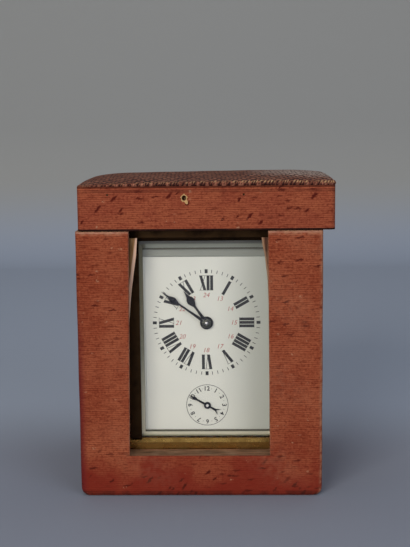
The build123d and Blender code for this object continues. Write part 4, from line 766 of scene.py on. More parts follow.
class Workshop:
    """Puts meshes into the scene, dresses them and hangs each on its body."""

    def __init__(self) -> None:
        """Starts with no material made."""
        self.materials: dict[Finish, bpy.types.Material] = {}

    def finish(self, finish: Finish) -> bpy.types.Material:
        """The finish's material, made once.

        Args:
            finish: The finish.

        Returns:
            Its material.
        """
        if finish not in self.materials:
            self.materials[finish] = finish.material()
        return self.materials[finish]

    def placed(self, name: str, data: bpy.types.Mesh) -> bpy.types.Object:
        """Puts a mesh into the scene, at its origin.

        Args:
            name: The piece's name.
            data: Its mesh.

        Returns:
            The new object.
        """
        made = bpy.data.objects.new(name, data)
        bpy.context.scene.collection.objects.link(made)
        return made

    def mesh(self, name: str, shape: Shape, smooth: bool = True,
             wear: np.ndarray | None = None) -> bpy.types.Object:
        """Makes an object from points in millimetres.

        Args:
            name: The piece's name.
            shape: Rows of x, y, z and rows of corner numbers.
            smooth: Whether the faces are shaded smooth.
            wear: Share of wear at each point.

        Returns:
            The new object at the origin, with its doubles merged and faces outwards.
        """
        points, faces = shape
        data = bpy.data.meshes.new(name)
        data.from_pydata((points * MM).tolist(), [], faces if isinstance(faces, list) else faces.tolist())
        if wear is not None:
            layer = data.attributes.new("wear", "FLOAT", "POINT")
            layer.data.foreach_set("value", np.asarray(wear, np.float32).ravel())
        work = bmesh.new()
        work.from_mesh(data)
        bmesh.ops.remove_doubles(work, verts=work.verts, dist=0.001 * MM)
        bmesh.ops.recalc_face_normals(work, faces=work.faces)
        work.to_mesh(data)
        work.free()
        data.shade_smooth() if smooth else data.shade_flat()
        return self.placed(name, data)

    def give(self, piece: bpy.types.Object, finish: Finish, body: Body, slot: Slot,
             *replaced: str) -> None:
        """Dresses a piece, hangs it on its body and hides the nodes it stands for.

        Args:
            piece: The finished object.
            finish: Its finish.
            body: The body it rides on.
            slot: The record's material slot; not used.
            replaced: CAD nodes that it replaces.
        """
        piece.data.materials.clear()
        piece.data.materials.append(self.finish(finish))
        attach(piece, body.value)
        if replaced:
            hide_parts(*replaced)
        LOG.info("%s: %d faces on %s", piece.name, len(piece.data.polygons), body.value)

    def soften(self, node: bpy.types.Object, name: str, edge: float) -> bpy.types.Object:
        """A copy of a CAD node with merged points and rounded edges.

        Args:
            node: The CAD node's object.
            name: The copy's name.
            edge: Radius of its edges in mm.

        Returns:
            The copy at the origin.
        """
        data = node.data.copy()
        work = bmesh.new()
        work.from_mesh(data)
        bmesh.ops.remove_doubles(work, verts=work.verts, dist=0.002 * MM)
        bmesh.ops.dissolve_limit(work, angle_limit=math.radians(0.5), verts=work.verts,
                                 edges=work.edges)
        work.to_mesh(data)
        work.free()
        data.shade_smooth()
        made = self.placed(name, data)
        bevel = made.modifiers.new("rounded_edges", "BEVEL")
        bevel.width, bevel.segments = edge * MM, 3
        bevel.limit_method, bevel.angle_limit = "ANGLE", math.radians(40)
        made.modifiers.new("even_normals", "WEIGHTED_NORMAL").keep_sharp = True
        return made

    def dress(self, nodes: dict) -> None:
        """Gives every CAD node that stays in view its finish.

        Args:
            nodes: The frame's nodes by name.
        """
        for finish, names in NODE_FINISH.items():
            for name in names:
                nodes[name].data.materials.clear()
                nodes[name].data.materials.append(self.finish(finish))
                LOG.info("%s: %s", name, finish.name)


def grid_faces(rows: int, columns: int, close_rows: bool = False,
               close_columns: bool = False) -> np.ndarray:
    """Four-cornered faces between the points of a grid.

    Args:
        rows: Points along the first parameter.
        columns: Points along the second parameter.
        close_rows: Whether the last row joins the first.
        close_columns: Whether the last column joins the first.

    Returns:
        Rows of four corner numbers.
    """
    a, b = np.meshgrid(np.arange(rows if close_rows else rows - 1),
                       np.arange(columns if close_columns else columns - 1), indexing="ij")
    up, right = (a + 1) % rows, (b + 1) % columns
    corners = (a * columns + b, a * columns + right, up * columns + right, up * columns + b)
    return np.stack([k.ravel() for k in corners], axis=1)


def rounded_rectangle(low: np.ndarray, high: np.ndarray, radius: float, straight: int = 24,
                      arc: int = 8) -> np.ndarray:
    """Points round a rectangle with rounded corners, anticlockwise.

    Each corner is a quarter circle about a centre one radius in from both sides.

    Args:
        low: Lowest first and second coordinate.
        high: Highest first and second coordinate.
        radius: Corner radius.
        straight: Points on each side.
        arc: Points on each corner.

    Returns:
        Rows of two coordinates, not repeating the first.
    """
    (x0, y0), (x1, y1) = np.array(low) + radius, np.array(high) - radius
    arcs = []
    for k, (x, y) in enumerate(((x1, y0), (x1, y1), (x0, y1), (x0, y0))):
        a = QUARTER * (k - 1) + np.linspace(0, QUARTER, arc)
        arcs.append(np.stack([x + radius * np.cos(a), y + radius * np.sin(a)], 1))
    rows = []
    for k in range(4):
        rows += [np.linspace(arcs[k - 1][-1], arcs[k][0], straight + 2)[1:-1], arcs[k]]
    return np.concatenate(rows)


def turned(profile: list[Pair], centre: Point, axis: str, sides: int = 24) -> Shape:
    """A turned piece: a profile of (distance along the axis, radius) carried round the axis.

    Args:
        profile: Pairs from one end to the other; the ends have radius 0.
        centre: The point on the axis where the distance is 0.
        axis: Letter of the axis, with a minus sign to point the other way.
        sides: Points round the axis.

    Returns:
        Points and faces.
    """
    along, radius = np.array(profile, float).T[:, :, None]
    a = np.linspace(0, FULL, sides, endpoint=False)[None, :]
    parts = [radius * np.cos(a), radius * np.sin(a)]
    parts.insert(AXES.index(axis[-1]), (-along if axis[0] == "-" else along) + 0 * a)
    points = np.stack([p + c for p, c in zip(parts, centre)], -1).reshape(-1, 3)
    return points, grid_faces(len(profile), sides, close_columns=True)


def joined(parts: list[Shape]) -> Shape:
    """Several shapes as one, each one's corner numbers shifted past the points before it.

    Args:
        parts: The shapes.

    Returns:
        Points and faces.
    """
    shifts = np.cumsum([0] + [len(points) for points, _ in parts[:-1]])
    return (np.concatenate([points for points, _ in parts]),
            np.concatenate([faces + shift for (_, faces), shift in zip(parts, shifts)]))


def cushion(low: Point, high: Point, face: str, crown: float, radius: float = 2.0,
            rings: int = 14) -> Shape:
    """A closed pad that is flat on its back and crowned on its face.

    Rings of a rounded rectangle shrink to the middle on both sides. The face stands out by
    the crown times (1 - r^3), where r is the ring's share of the way to the edge.

    Args:
        low: Lowest corner.
        high: Highest corner.
        face: Axis that the crowned face looks along, with a minus sign if downwards.
        crown: How far the face stands out past its edge.
        radius: Corner radius of the outline.
        rings: Rings on each side.

    Returns:
        Points and faces.
    """
    low, high = np.array(low), np.array(high)
    k = AXES.index(face[-1])
    flat = [n for n in range(3) if n != k]
    outline = rounded_rectangle(low[flat], high[flat], radius)
    middle = (low[flat] + high[flat]) / 2
    back, front = (high[k], low[k]) if face[0] == "-" else (low[k], high[k])
    edge = front - crown * np.sign(front - back)
    shares = np.concatenate([np.linspace(0, 1, rings), np.linspace(1, 0, rings)])
    crowned = edge + (front - edge) * (1 - np.linspace(1, 0, rings) ** 3)
    points = np.empty((len(shares), len(outline), 3))
    points[..., flat] = middle + (outline - middle)[None] * shares[:, None, None]
    points[..., k] = np.concatenate([np.full(rings, back), crowned])[:, None]
    return points.reshape(-1, 3), grid_faces(len(shares), len(outline), close_columns=True)


@dataclass
class TravellingCase:
    """The red case: a skin of ribbed cloth over boards, with a padded brown lining."""

    half_w: float = 54.0
    half_d: float = 48.0
    rim: float = 118.9
    skirt: float = 0.4
    corner: float = 2.2
    foot_corner: float = 3.5
    sill_top: float = 18.3
    fold: float = 0.7
    fold_end: float = -44.9
    window_left: Pair = (-31.9, -30.5)
    window_right: Pair = (30.7, 30.0)
    skin: float = 1.15
    hug: float = 0.10
    worn_rim: float = 0.9
    worn_fold: float = 0.55
    corner_wear_highlight: float = 0.30
    worn_width: float = 1.1
    lining: float = 2.0
    crown: float = 0.7
    levels_low: int = 16
    levels_high: int = 48

    def front(self, edge: float, side: int) -> np.ndarray:
        """Plan points from a window edge's fold, round its bend, along the front to the corner.

        Args:
            edge: X of the window's edge.
            side: -1 for the left part of the front and 1 for the right one.

        Returns:
            Rows of x, y: 4 of the fold, 6 of the bend and 15 of the front.
        """
        bend, end = self.fold, self.fold - self.half_d
        turn = np.linspace(0, QUARTER, 7)[1:]
        face = np.linspace(edge + side * bend, side * (self.half_w - self.corner), 16)[1:]
        return np.concatenate([
            np.c_[np.full(4, edge), np.linspace(self.fold_end, end, 4)],
            np.c_[edge + side * bend * (1 - np.cos(turn)), end - bend * np.sin(turn)],
            np.c_[face, np.full(15, -self.half_d)]])

    def loop(self, left: float, right: float) -> np.ndarray:
        """Plan points from the fold at the left window edge, round the back, to the right fold.

        Args:
            left: X of the window's left edge at this height.
            right: X of its right edge.

        Returns:
            Rows of x, y.
        """
        c = self.corner
        x, y = self.half_w - c, self.half_d - c
        turn = np.linspace(0, QUARTER, 7)
        runs = []
        for k, middle in enumerate(((-x, -y), (-x, y), (x, y), (x, -y))):
            a = -QUARTER * (k + 1) - turn
            arc = np.array(middle) + c * np.stack([np.cos(a), np.sin(a)], 1)
            runs += [np.linspace(runs[-1][-1], arc[0], 22)[1:-1], arc] if runs else [arc]
        return np.concatenate([self.front(left, -1)[:-1], *runs, self.front(right, 1)[::-1][1:]])

    def walls(self) -> tuple[np.ndarray, np.ndarray, np.ndarray]:
        """An upper wall, open at the window, over a closed lower one.

        Below the foot corner's height the sides are drawn in by a circle's arc. The cloth hugs
        the boards with a slow wave, and it is worn bare at the rim, the window's folds and the
        two right corners, where the pale is partly wear and partly painted highlight.

        Returns:
            Points, faces and wear at each point.
        """
        (l0, l1), (r0, r1) = self.window_left, self.window_right
        rows = [self.loop(l0 + s * (l1 - l0), r0 + s * (r1 - r0))
                for s in np.linspace(0, 1, self.levels_high)]
        face = rows[0][10:-10]
        ring = np.concatenate([face, np.linspace(face[-1], face[0], 22)[1:-1]])
        low_z = np.linspace(self.skirt, self.sill_top, self.levels_low)
        high_z = np.linspace(self.sill_top, self.rim, self.levels_high)
        upper = np.concatenate([np.c_[r, np.full(len(r), z)] for r, z in zip(rows, high_z)])
        lower = np.concatenate([np.c_[ring, np.full(len(ring), z)] for z in low_z])
        points, faces = joined([
            (upper, grid_faces(self.levels_high, len(rows[0]))),
            (lower, grid_faces(self.levels_low, len(ring), close_columns=True))])
        r = self.foot_corner
        under = np.clip(r - points[:, 2], 0, r)
        outer = np.abs(points[:, 0]) > self.half_w - r
        points[:, 0] -= np.sign(points[:, 0]) * (r - np.sqrt(r * r - under * under)) * outer
        x, y, z = points.T
        outward = np.stack([np.sign(x) * (np.abs(x) > self.half_w - 0.3),
                            np.sign(y) * (np.abs(y) > self.half_d - 0.3), 0 * z], 1)
        wave = self.hug * (1 + np.sin(x / 9.0 + z / 13.0) * np.sin(z / 11.0 + y / 15.0))
        rim = np.clip(z - self.rim + 1.0, 0, 1)
        points -= outward * wave[:, None]
        x, y, z = points.T
        folds = (y < self.fold_end + 0.2) & (x > self.corner - self.half_w)
        window = np.clip((y + self.half_d - 0.1) / 0.4, 0, 1) * folds
        # The two right corners: pale wear, partly painted highlight
        corner = (x > self.half_w - self.worn_width) & (np.abs(y) > self.half_d - self.worn_width)
        wear = rim * self.worn_rim + window * self.worn_fold + corner * self.corner_wear_highlight
        return points, faces, np.clip(wear, 0, 1)

    def build(self, shop: Workshop) -> None:
        """Makes the skin and the lining's pads.

        Args:
            shop: Makes and dresses the pieces.
        """
        points, faces, wear = self.walls()
        skin = shop.mesh("case_skin", (points, faces), wear=wear)
        wall = skin.modifiers.new("cloth_on_board", "SOLIDIFY")
        wall.thickness, wall.offset = self.skin * MM, -1.0
        shop.give(skin, CASE_CLOTH, Body.CASE, Slot.CASE_LEATHER, "case_leather_cover")
        (x0, y0, z0), (x1, y1, z1) = box_mm("case_lining")
        t = self.lining
        for name, low, high, face, crown in (
                ("lining_floor", (x0, y0, z0), (x1, y1, z0 + t), "Z", 0.0),
                ("lining_left", (x0, y0, z0 + t), (x0 + t, y1, z1), "X", self.crown),
                ("lining_right", (x1 - t, y0, z0 + t), (x1, y1, z1), "-X", self.crown),
                ("lining_back", (x0 + t, y1 - t, z0 + t), (x1 - t, y1, z1), "-Y", self.crown)):
            pad = shop.mesh(name, cushion(low, high, face, crown))
            shop.give(pad, LINING_CLOTH, Body.CASE, Slot.LINING, "case_lining")


@dataclass
class PaddedLid:
    """The lid: cloth band, padded grained top, twisted braid on its edge and an inner pad."""

    edge: float = 0.9
    corner: float = 3.0
    edge_lift: float = 1.65
    corner_drop: float = 0.74
    corner_power: float = 3.1
    tilt: float = 0.59
    dome: float = 2.0
    crease: float = 0.12
    left_power: float = 8.7
    right_power: float = 7.1
    depth_power: float = 1.65
    braid_r: float = 0.64
    braid_swing: float = 0.54
    braid_inset: float = 0.83
    braid_corner: float = 2.4
    braid_pitch: float = 2.8
    braid_wander: float = 1.1
    braid_sink: float = 0.75
    braid_shrink: float = 0.4
    back_from: float = 1.5
    back_over: float = 8.0
    braid_drop: float = 1.1
    braid_follow: float = 0.8
    braid_swell: float = 0.18
    crest_light_tilt: float = 0.9
    pad_crown: float = 0.9
    eyelet: Pair = (-6.2, 133.3)
    eyelet_r: float = 1.15
    fray: float = 0.55
    tail: float = 1.5
    tail_turn: float = 305.0
    tail_width: float = 0.35
    rings: int = 40

    def edge_height(self, u: np.ndarray, v: np.ndarray) -> np.ndarray:
        """Height of the leather's edge over its underside: it sinks to the corners.

        The lift is taken down by the corner drop times |u v|^n, and the tilt adds its share of u.

        Args:
            u: Share of the half width.
            v: Share of the half depth.

        Returns:
            The heights in mm.
        """
        sunk = self.corner_drop * np.abs(u * v) ** self.corner_power
        return self.edge_lift * (1 - sunk) + self.tilt * u

    def top(self, low: np.ndarray, high: np.ndarray) -> Shape:
        """The padded top: rings shrink to the middle, and height follows the place.

        With u and v as shares of the half width and half depth, height over the flat
        underside is the edge's height plus the dome times (1 - |u|^p)(1 - |v|^q), with a
        p of its own at each end.

        Args:
            low: Lowest corner of the CAD top leather in mm.
            high: Its highest corner.

        Returns:
            Points and faces.
        """
        outline = rounded_rectangle(low[:2] + 0.05, high[:2] - 0.05, self.corner, 60)
        middle, half = (low[:2] + high[:2]) / 2, (high[:2] - low[:2]) / 2
        shares = np.sin(np.linspace(0, 1, self.rings) * QUARTER)
        flat = middle + (outline - middle)[None] * shares[:, None, None]
        u, v = np.moveaxis(np.clip((flat - middle) / half, -1, 1), -1, 0)
        power = np.where(u < 0, self.left_power, self.right_power)
        rise = (1 - np.abs(u) ** power) * (1 - np.abs(v) ** self.depth_power)
        x, y = flat[..., 0], flat[..., 1]
        creases = self.crease * np.sin(x / 5.1 + y / 7.3) * np.sin(y / 6.1 - x / 9.7) * rise
        height = low[2] + self.edge_height(u, v) + self.dome * rise + creases
        upper = np.concatenate([flat, height[..., None]], -1)
        lower = np.concatenate([flat[::-1], np.full((*flat.shape[:2], 1), low[2])], -1)
        points = np.concatenate([upper, lower])
        return points.reshape(-1, 3), grid_faces(len(points), len(outline), close_columns=True)

    def braid(self, low: np.ndarray, high: np.ndarray) -> tuple[np.ndarray, np.ndarray, np.ndarray]:
        """Two strands twisted round each other, carried along the lid's top edge.

        A strand's middle stands off the edge line by the swing, at an angle that turns once
        in each pitch, and its own section is a circle of six points. Away from the front
        the braid is thinner and lies lower, where the leather is turned over it.

        Args:
            low: Lowest corner of the CAD top leather in mm.
            high: Its highest corner.

        Returns:
            Points, faces and wear, which is high on the outer crests that face the light: rubbed
            wear and painted highlight.
        """
        path = rounded_rectangle(low[:2] + self.braid_inset, high[:2] - self.braid_inset,
                                 self.braid_corner, 190, 10)
        step = np.linalg.norm(np.roll(path, -1, 0) - path, axis=1)
        turn = FULL * np.concatenate([[0], np.cumsum(step)[:-1]]) / step.sum()
        tangent = np.roll(path, -1, 0) - np.roll(path, 1, 0)
        tangent /= np.linalg.norm(tangent, axis=1)[:, None]
        out = np.stack([tangent[:, 1], -tangent[:, 0], 0 * turn], 1)
        up = np.array([0.0, 0.0, 1.0])
        back = np.clip((path[:, 1] - low[1] - self.back_from) / self.back_over, 0, 1)
        back = back * back * (3 - 2 * back)
        u, v = ((path - (low[:2] + high[:2]) / 2) / ((high[:2] - low[:2]) / 2)).T
        edge = (self.edge_height(u, v) - self.edge_lift) * self.braid_follow
        line = np.c_[path, low[2] + self.braid_drop + edge - self.braid_sink * back]
        full = (1 - self.braid_shrink * back) * (1 + self.braid_swell * u)
        section = np.linspace(0, FULL, 6, endpoint=False)
        ring = (np.cos(section)[None, :, None] * out[:, None, :]
                + np.sin(section)[None, :, None] * up[None, None, :])
        wander = self.braid_wander * (np.sin(23 * turn) + 0.6 * np.sin(61 * turn))
        twist = round(step.sum() / self.braid_pitch) * turn + wander
        parts, wear = [], []
        for a in (twist, twist + math.pi):
            off = np.cos(a)[:, None] * out + np.sin(a)[:, None] * up
            middle = line + (self.braid_swing * full)[:, None] * off
            points = middle[:, None, :] + (self.braid_r * full)[:, None, None] * ring
            # Crests that face this tilt take pale wear and a painted highlight
            lit = self.crest_light_tilt
            wear.append(((np.cos(a - lit)[:, None] + np.cos(section - lit)[None, :]) / 2).ravel())
            parts.append((points.reshape(-1, 3),
                          grid_faces(len(line), len(section), close_rows=True, close_columns=True)))
        points, faces = joined(parts)
        return points, faces, np.clip(np.concatenate(wear), 0, 1)

    def eyelet_fray(self, front: float) -> Shape:
        """A ragged tan ring round the hole of the lost clasp, drawn out to a tail at its foot.

        The outer radius is the hole's plus the fray, two sine waves and a bell-shaped tail.

        Args:
            front: Y of the lid's front.

        Returns:
            Points and faces.
        """
        a = np.linspace(0, FULL, 40, endpoint=False)
        away = np.mod(a - math.radians(self.tail_turn) + math.pi, FULL) - math.pi
        outer = (self.eyelet_r + self.fray + 0.16 * np.sin(5 * a) + 0.12 * np.sin(9 * a)
                 + self.tail * np.exp(-(away / self.tail_width) ** 2))
        inner = self.eyelet_r + 0 * a
        rows = [np.stack([self.eyelet[0] + r * np.cos(a) * 0.85, front + y + 0 * a,
                          self.eyelet[1] + r * np.sin(a)], 1)
                for r, y in ((inner, 0.5), (inner, -0.02), ((outer + inner) / 2, -0.14), (outer, 0.02))]
        return np.concatenate(rows), grid_faces(4, len(a), close_columns=True)

    def build(self, shop: Workshop, nodes: dict) -> None:
        """Makes the band, the top, the braid, the frayed ring and the pad.

        Args:
            shop: Makes and dresses the pieces.
            nodes: The frame's nodes by name.
        """
        band = shop.soften(nodes["lid_leather_band"], "lid_band", self.edge)
        shop.give(band, LID_CLOTH, Body.LID, Slot.CASE_LEATHER, "lid_leather_band")
        low, high = box_mm("lid_top_leather")
        top = shop.mesh("lid_padded_top", self.top(low, high))
        shop.give(top, LID_GRAIN, Body.LID, Slot.LID_LEATHER, "lid_top_leather")
        points, faces, wear = self.braid(low, high)
        braid = shop.mesh("lid_edge_braid", (points, faces), wear=wear)
        shop.give(braid, BRAID, Body.LID, Slot.LID_LEATHER)
        ring = shop.mesh("clasp_hole_fray", self.eyelet_fray(low[1]))
        shop.give(ring, TAN_FRAY, Body.LID, Slot.LID_LEATHER)
        pad = shop.mesh("lid_inner_pad", cushion(*box_mm("lid_pad"), "-Z", self.pad_crown))
        shop.give(pad, LINING_CLOTH, Body.LID, Slot.LINING, "lid_pad")


@dataclass
class Dial:
    """What is fired on the enamel: Roman hours, minute track, red 13 to 24 and the alarm ring.

    A letter is its width and its strokes: where the stroke's top and foot stand from the
    letter's middle, and whether it is thick. A V has no serif at its foot.
    """

    x: float = 2.65
    z: float = 75.6
    alarm_z: float = 37.2
    lift: float = 0.04
    hour_in: float = 14.8
    hour_out: float = 21.6
    thick: float = 1.32
    thin: float = 0.22
    gap: float = 0.45
    serif: float = 0.16
    serif_reach: float = 0.2
    minute_r: float = 23.5
    minute_mark: Pair = (1.5, 0.28)
    five_mark: Pair = (1.8, 1.35)
    red_r: float = 12.7
    red_h: float = 2.05
    red_lean: float = 0.25
    alarm_ring: float = 9.6
    alarm_ring_w: float = 0.22
    alarm_number_r: float = 7.8
    alarm_number_h: float = 2.1
    alarm_dot: float = 0.13
    boldness: float = 0.02
    hours: tuple[str, ...] = ("XII", "I", "II", "III", "IIII", "V", "VI", "VII", "VIII", "IX",
                              "X", "XI")
    letters: dict = field(default_factory=lambda: {
        "I": (1.15, ((0.0, 0.0, True),)),
        "V": (2.8, ((-0.95, 0.1, True), (1.2, 0.4, False))),
        "X": (2.8, ((-0.95, 0.95, True), (1.15, -1.15, False)))})

    def __post_init__(self) -> None:
        """Finds the plane of the marks, a hair in front of the enamel."""
        self.front: float = box_mm("dial_plate")[0][1] - self.lift

    def stroke(self, foot: float, top: float, half: float, ends: Pair, turn: float,
               centre_z: float) -> np.ndarray:
        """A straight mark that runs outwards, turned to its place round a centre.

        Args:
            foot: How far its foot stands across from the ray.
            top: How far its top does.
            half: Half its width.
            ends: Radii of its foot and its top.
            turn: Degrees clockwise from twelve.
            centre_z: Height of the ring's centre.

        Returns:
            Four rows of x, y, z.
        """
        a = math.radians(turn)
        across = np.array([foot - half, foot + half, top + half, top - half])
        out = np.repeat(ends, 2)
        return np.stack([self.x + across * math.cos(a) + out * math.sin(a), 0 * across + self.front,
                         centre_z - across * math.sin(a) + out * math.cos(a)], 1)

    def numeral(self, text: str, turn: float) -> list[np.ndarray]:
        """The strokes of one Roman numeral, its foot to the centre, with hairline serifs.

        Args:
            text: Its letters.
            turn: Degrees clockwise from twelve.

        Returns:
            The strokes' corners.
        """
        left = -(sum(self.letters[c][0] for c in text) + self.gap * (len(text) - 1)) / 2
        out = []
        for letter in text:
            width, strokes = self.letters[letter]
            middle = left + width / 2
            for top, foot, heavy in strokes:
                out.append(self.stroke(middle + foot, middle + top,
                                       (self.thick if heavy else self.thin) / 2,
                                       (self.hour_in, self.hour_out), turn, self.z))
            radii = [self.hour_out - self.serif]
            if letter != "V":
                radii.append(self.hour_in)
            for r in radii:
                out.append(self.stroke(middle, middle, width / 2 + self.serif_reach,
                                       (r, r + self.serif), turn, self.z))
            left += width + self.gap
        return out

    def track(self) -> list[np.ndarray]:
        """Sixty minute marks, every fifth one broad, and the dots between the alarm's hours.

        Returns:
            The marks' corners.
        """
        out = []
        for k in range(60):
            length, width = self.minute_mark if k % 5 else self.five_mark
            ends = (self.minute_r - length / 2, self.minute_r + length / 2)
            out.append(self.stroke(0, 0, width / 2, ends, 6 * k, self.z))
        ends = (self.alarm_number_r - self.alarm_dot, self.alarm_number_r + self.alarm_dot)
        return out + [self.stroke(0, 0, self.alarm_dot, ends, 30 * k + 15, self.alarm_z)
                      for k in range(12)]

    def ring(self) -> Shape:
        """The thin circle round the alarm dial, as a band between two radii.

        Returns:
            Points and faces.
        """
        a = np.linspace(0, FULL, 96, endpoint=False)
        rows = [np.stack([self.x + r * np.cos(a), self.front + 0 * a, self.alarm_z + r * np.sin(a)], 1)
                for r in (self.alarm_ring - self.alarm_ring_w, self.alarm_ring)]
        return np.concatenate(rows), grid_faces(2, len(a), close_columns=True)

    def figure(self, text: str, height: float, lean: float, at: Pair, turn: float,
               boldness: float) -> Shape:
        """A number as a flat mesh on the dial.

        Args:
            text: The figures.
            height: Their height in mm.
            lean: Slant of the figures.
            at: X and Z of their middle.
            turn: Degrees clockwise.
            boldness: How far the outlines are thickened, as a share of the height.

        Returns:
            Points and triangles.
        """
        curve = bpy.data.curves.new("figure", "FONT")
        curve.body, curve.shear, curve.offset = text, lean, boldness
        curve.align_x, curve.align_y, curve.resolution_u = "CENTER", "CENTER", 3
        holder = bpy.data.objects.new("figure", curve)
        flat = bpy.data.meshes.new_from_object(holder)
        flat.calc_loop_triangles()
        p = np.array([v.co for v in flat.vertices])[:, :2]
        faces = np.array([t.vertices for t in flat.loop_triangles])
        bpy.data.objects.remove(holder)
        bpy.data.curves.remove(curve)
        bpy.data.meshes.remove(flat)
        low, high = p.min(0), p.max(0)
        across, up = ((p - (high + low) / 2) * height / (high - low)[1]).T
        a = math.radians(turn)
        return np.stack([at[0] + across * math.cos(a) + up * math.sin(a), 0 * up + self.front,
                         at[1] - across * math.sin(a) + up * math.cos(a)], 1), faces

    def numbers(self, first: int, radius: float, height: float, lean: float, centre_z: float,
                upright: bool, boldness: float) -> list[Shape]:
        """Twelve numbers in a ring, the first at one o'clock.

        Args:
            first: The number at one o'clock.
            radius: Radius of their middles.
            height: Their height in mm.
            lean: Slant of the figures.
            centre_z: Height of the ring's centre.
            upright: Whether they stand upright and don't turn with the ring.
            boldness: How far the outlines are thickened.

        Returns:
            One shape for each number.
        """
        out = []
        for k in range(1, 13):
            a = math.radians(30 * k)
            at = (self.x + radius * math.sin(a), centre_z + radius * math.cos(a))
            turn = 0 if upright else 30 * k
            out.append(self.figure(str(first + k - 1), height, lean, at, turn, boldness))
        return out

    def build(self, shop: Workshop) -> None:
        """Lays the marks a hair above the enamel.

        Args:
            shop: Makes and dresses the pieces.
        """
        marks = self.track()
        for k, text in enumerate(self.hours):
            marks += self.numeral(text, 30 * k)
        points = np.concatenate(marks)
        for name, finish, shape in (
                ("dial_hours_and_minutes", INK, (points, np.arange(len(points)).reshape(-1, 4))),
                ("dial_alarm_ring", INK, self.ring()),
                ("dial_alarm_numbers", INK, joined(self.numbers(
                    1, self.alarm_number_r, self.alarm_number_h, 0.0, self.alarm_z, False,
                    self.boldness))),
                ("dial_red_hours", RED_INK, joined(self.numbers(
                    13, self.red_r, self.red_h, self.red_lean, self.z, True, 0.0)))):
            shop.give(shop.mesh(name, shape, smooth=False), finish, Body.CASE, Slot.ENAMEL)


@dataclass
class GlassRebate:
    """The silvered bevels that frame the dial just behind the front pane.

    The section is a thin slip whose front slopes back to the dial, carried round a
    rectangle with mitred corners. Widths are those of the left, low, right and high sides.
    """

    left: float = -27.15
    right: float = 32.45
    low: float = 23.75
    high: float = 113.15
    widths: tuple[float, float, float, float] = (1.75, 1.45, 1.8, 3.1)
    # Widths of the inner lines of painted shadow: left, low, right and high
    lines: tuple[float, float, float, float] = (0.06, 0.85, 0.06, 0.8)
    front: float = -33.5
    line_front: float = -31.85
    back: float = -31.8
    slip: float = 0.35
    flange_z: Pair = (105.8, 111.6)
    flange_y: Pair = (-31.0, -30.4)
    flange_inset: float = 0.3

    def slips(self, outer: np.ndarray, inner: np.ndarray, front: float) -> Shape:
        """Four mitred slips whose front runs from the outer corners to the inner ones.

        Args:
            outer: X and Z of the four outer corners.
            inner: X and Z of the four inner corners.
            front: Y of the outer edge; the inner edge is at the back.

        Returns:
            Points and faces.
        """
        rows = [np.stack([p[:, 0], np.full(4, y), p[:, 1]], 1)
                for p, y in ((outer, front), (inner, self.back),
                             (inner, self.back + self.slip), (outer, self.back + self.slip))]
        return np.stack(rows, 1).reshape(-1, 3), grid_faces(4, 4, close_rows=True, close_columns=True)

    def flange(self) -> Shape:
        """The plain strip above the dial, grey with painted shade: a thin plate with a rolled lower edge.

        Returns:
            Points and faces.
        """
        (low, high), (front, back) = self.flange_z, self.flange_y
        a = np.linspace(-QUARTER, QUARTER, 7)
        r = (back - front) / 2
        profile = np.concatenate([np.c_[front + r + r * np.sin(a), low + r - r * np.cos(a)],
                                  [(back, high), (front, high)]])
        across = np.linspace(self.left + self.flange_inset, self.right - self.flange_inset, 9)
        count = len(profile)
        points = np.c_[np.repeat(across, count), np.tile(profile, (9, 1))]
        ends = [list(range(count)), list(range(8 * count, 9 * count))]
        return points, grid_faces(9, count, close_columns=True).tolist() + ends

    def build(self, shop: Workshop) -> None:
        """Makes the bevels, their inner lines of painted shadow and the strip above the dial.

        Args:
            shop: Makes and dresses the pieces.
        """
        outer = np.array([(self.left, self.low), (self.right, self.low),
                          (self.right, self.high), (self.left, self.high)])
        corners = [outer]
        for left, foot, right, head in (self.widths, self.lines):
            moves = np.array([(left, foot), (-right, foot), (-right, -head), (left, -head)])
            corners.append(corners[-1] + moves)
        for name, shape, finish in (
                ("glass_rebate_bevels", self.slips(*corners[:2], self.front), SILVERED),
                ("glass_rebate_lines", self.slips(*corners[1:], self.line_front), REBATE_SHADOW_LINE),
                ("dial_top_flange", self.flange(), SILVERED_SHADE)):
            shop.give(shop.mesh(name, shape, smooth=False), finish, Body.CASE, Slot.GILT_BRASS)


@dataclass
class SpiralSpring:
    """A spring wound as an even spiral ribbon.

    The ribbon's middle follows r = inner + (outer - inner) * t while its angle grows with t.
    """

    name: str
    node: str
    centre: Pair
    axis: str
    inner: float
    outer: float
    turns: float
    thickness: float
    start: float = 0.0
    steps: int = 420

    def build(self, shop: Workshop) -> None:
        """Carries a flat section of four corners along the spiral.

        Args:
            shop: Makes and dresses the pieces.
        """
        k = AXES.index(self.axis)
        low, high = (corner[k] for corner in box_mm(self.node))
        t = np.linspace(0, 1, self.steps)
        angle = math.radians(self.start) + FULL * self.turns * t
        radius = self.inner + (self.outer - self.inner) * t
        rows = []
        for side, level in ((-1, low), (1, low), (1, high), (-1, high)):
            r = radius + side * self.thickness / 2
            flat = [self.centre[0] + r * np.cos(angle), self.centre[1] + r * np.sin(angle)]
            flat.insert(k, level + 0 * r)
            rows.append(np.stack(flat, 1))
        faces = grid_faces(self.steps, 4, close_columns=True).tolist()
        last = (self.steps - 1) * 4
        faces += [[0, 1, 2, 3], [last + 3, last + 2, last + 1, last]]
        piece = shop.mesh(self.name, (np.stack(rows, 1).reshape(-1, 3), faces), smooth=False)
        shop.give(piece, BLUE, Body.CASE, Slot.BLUE_STEEL, self.node)


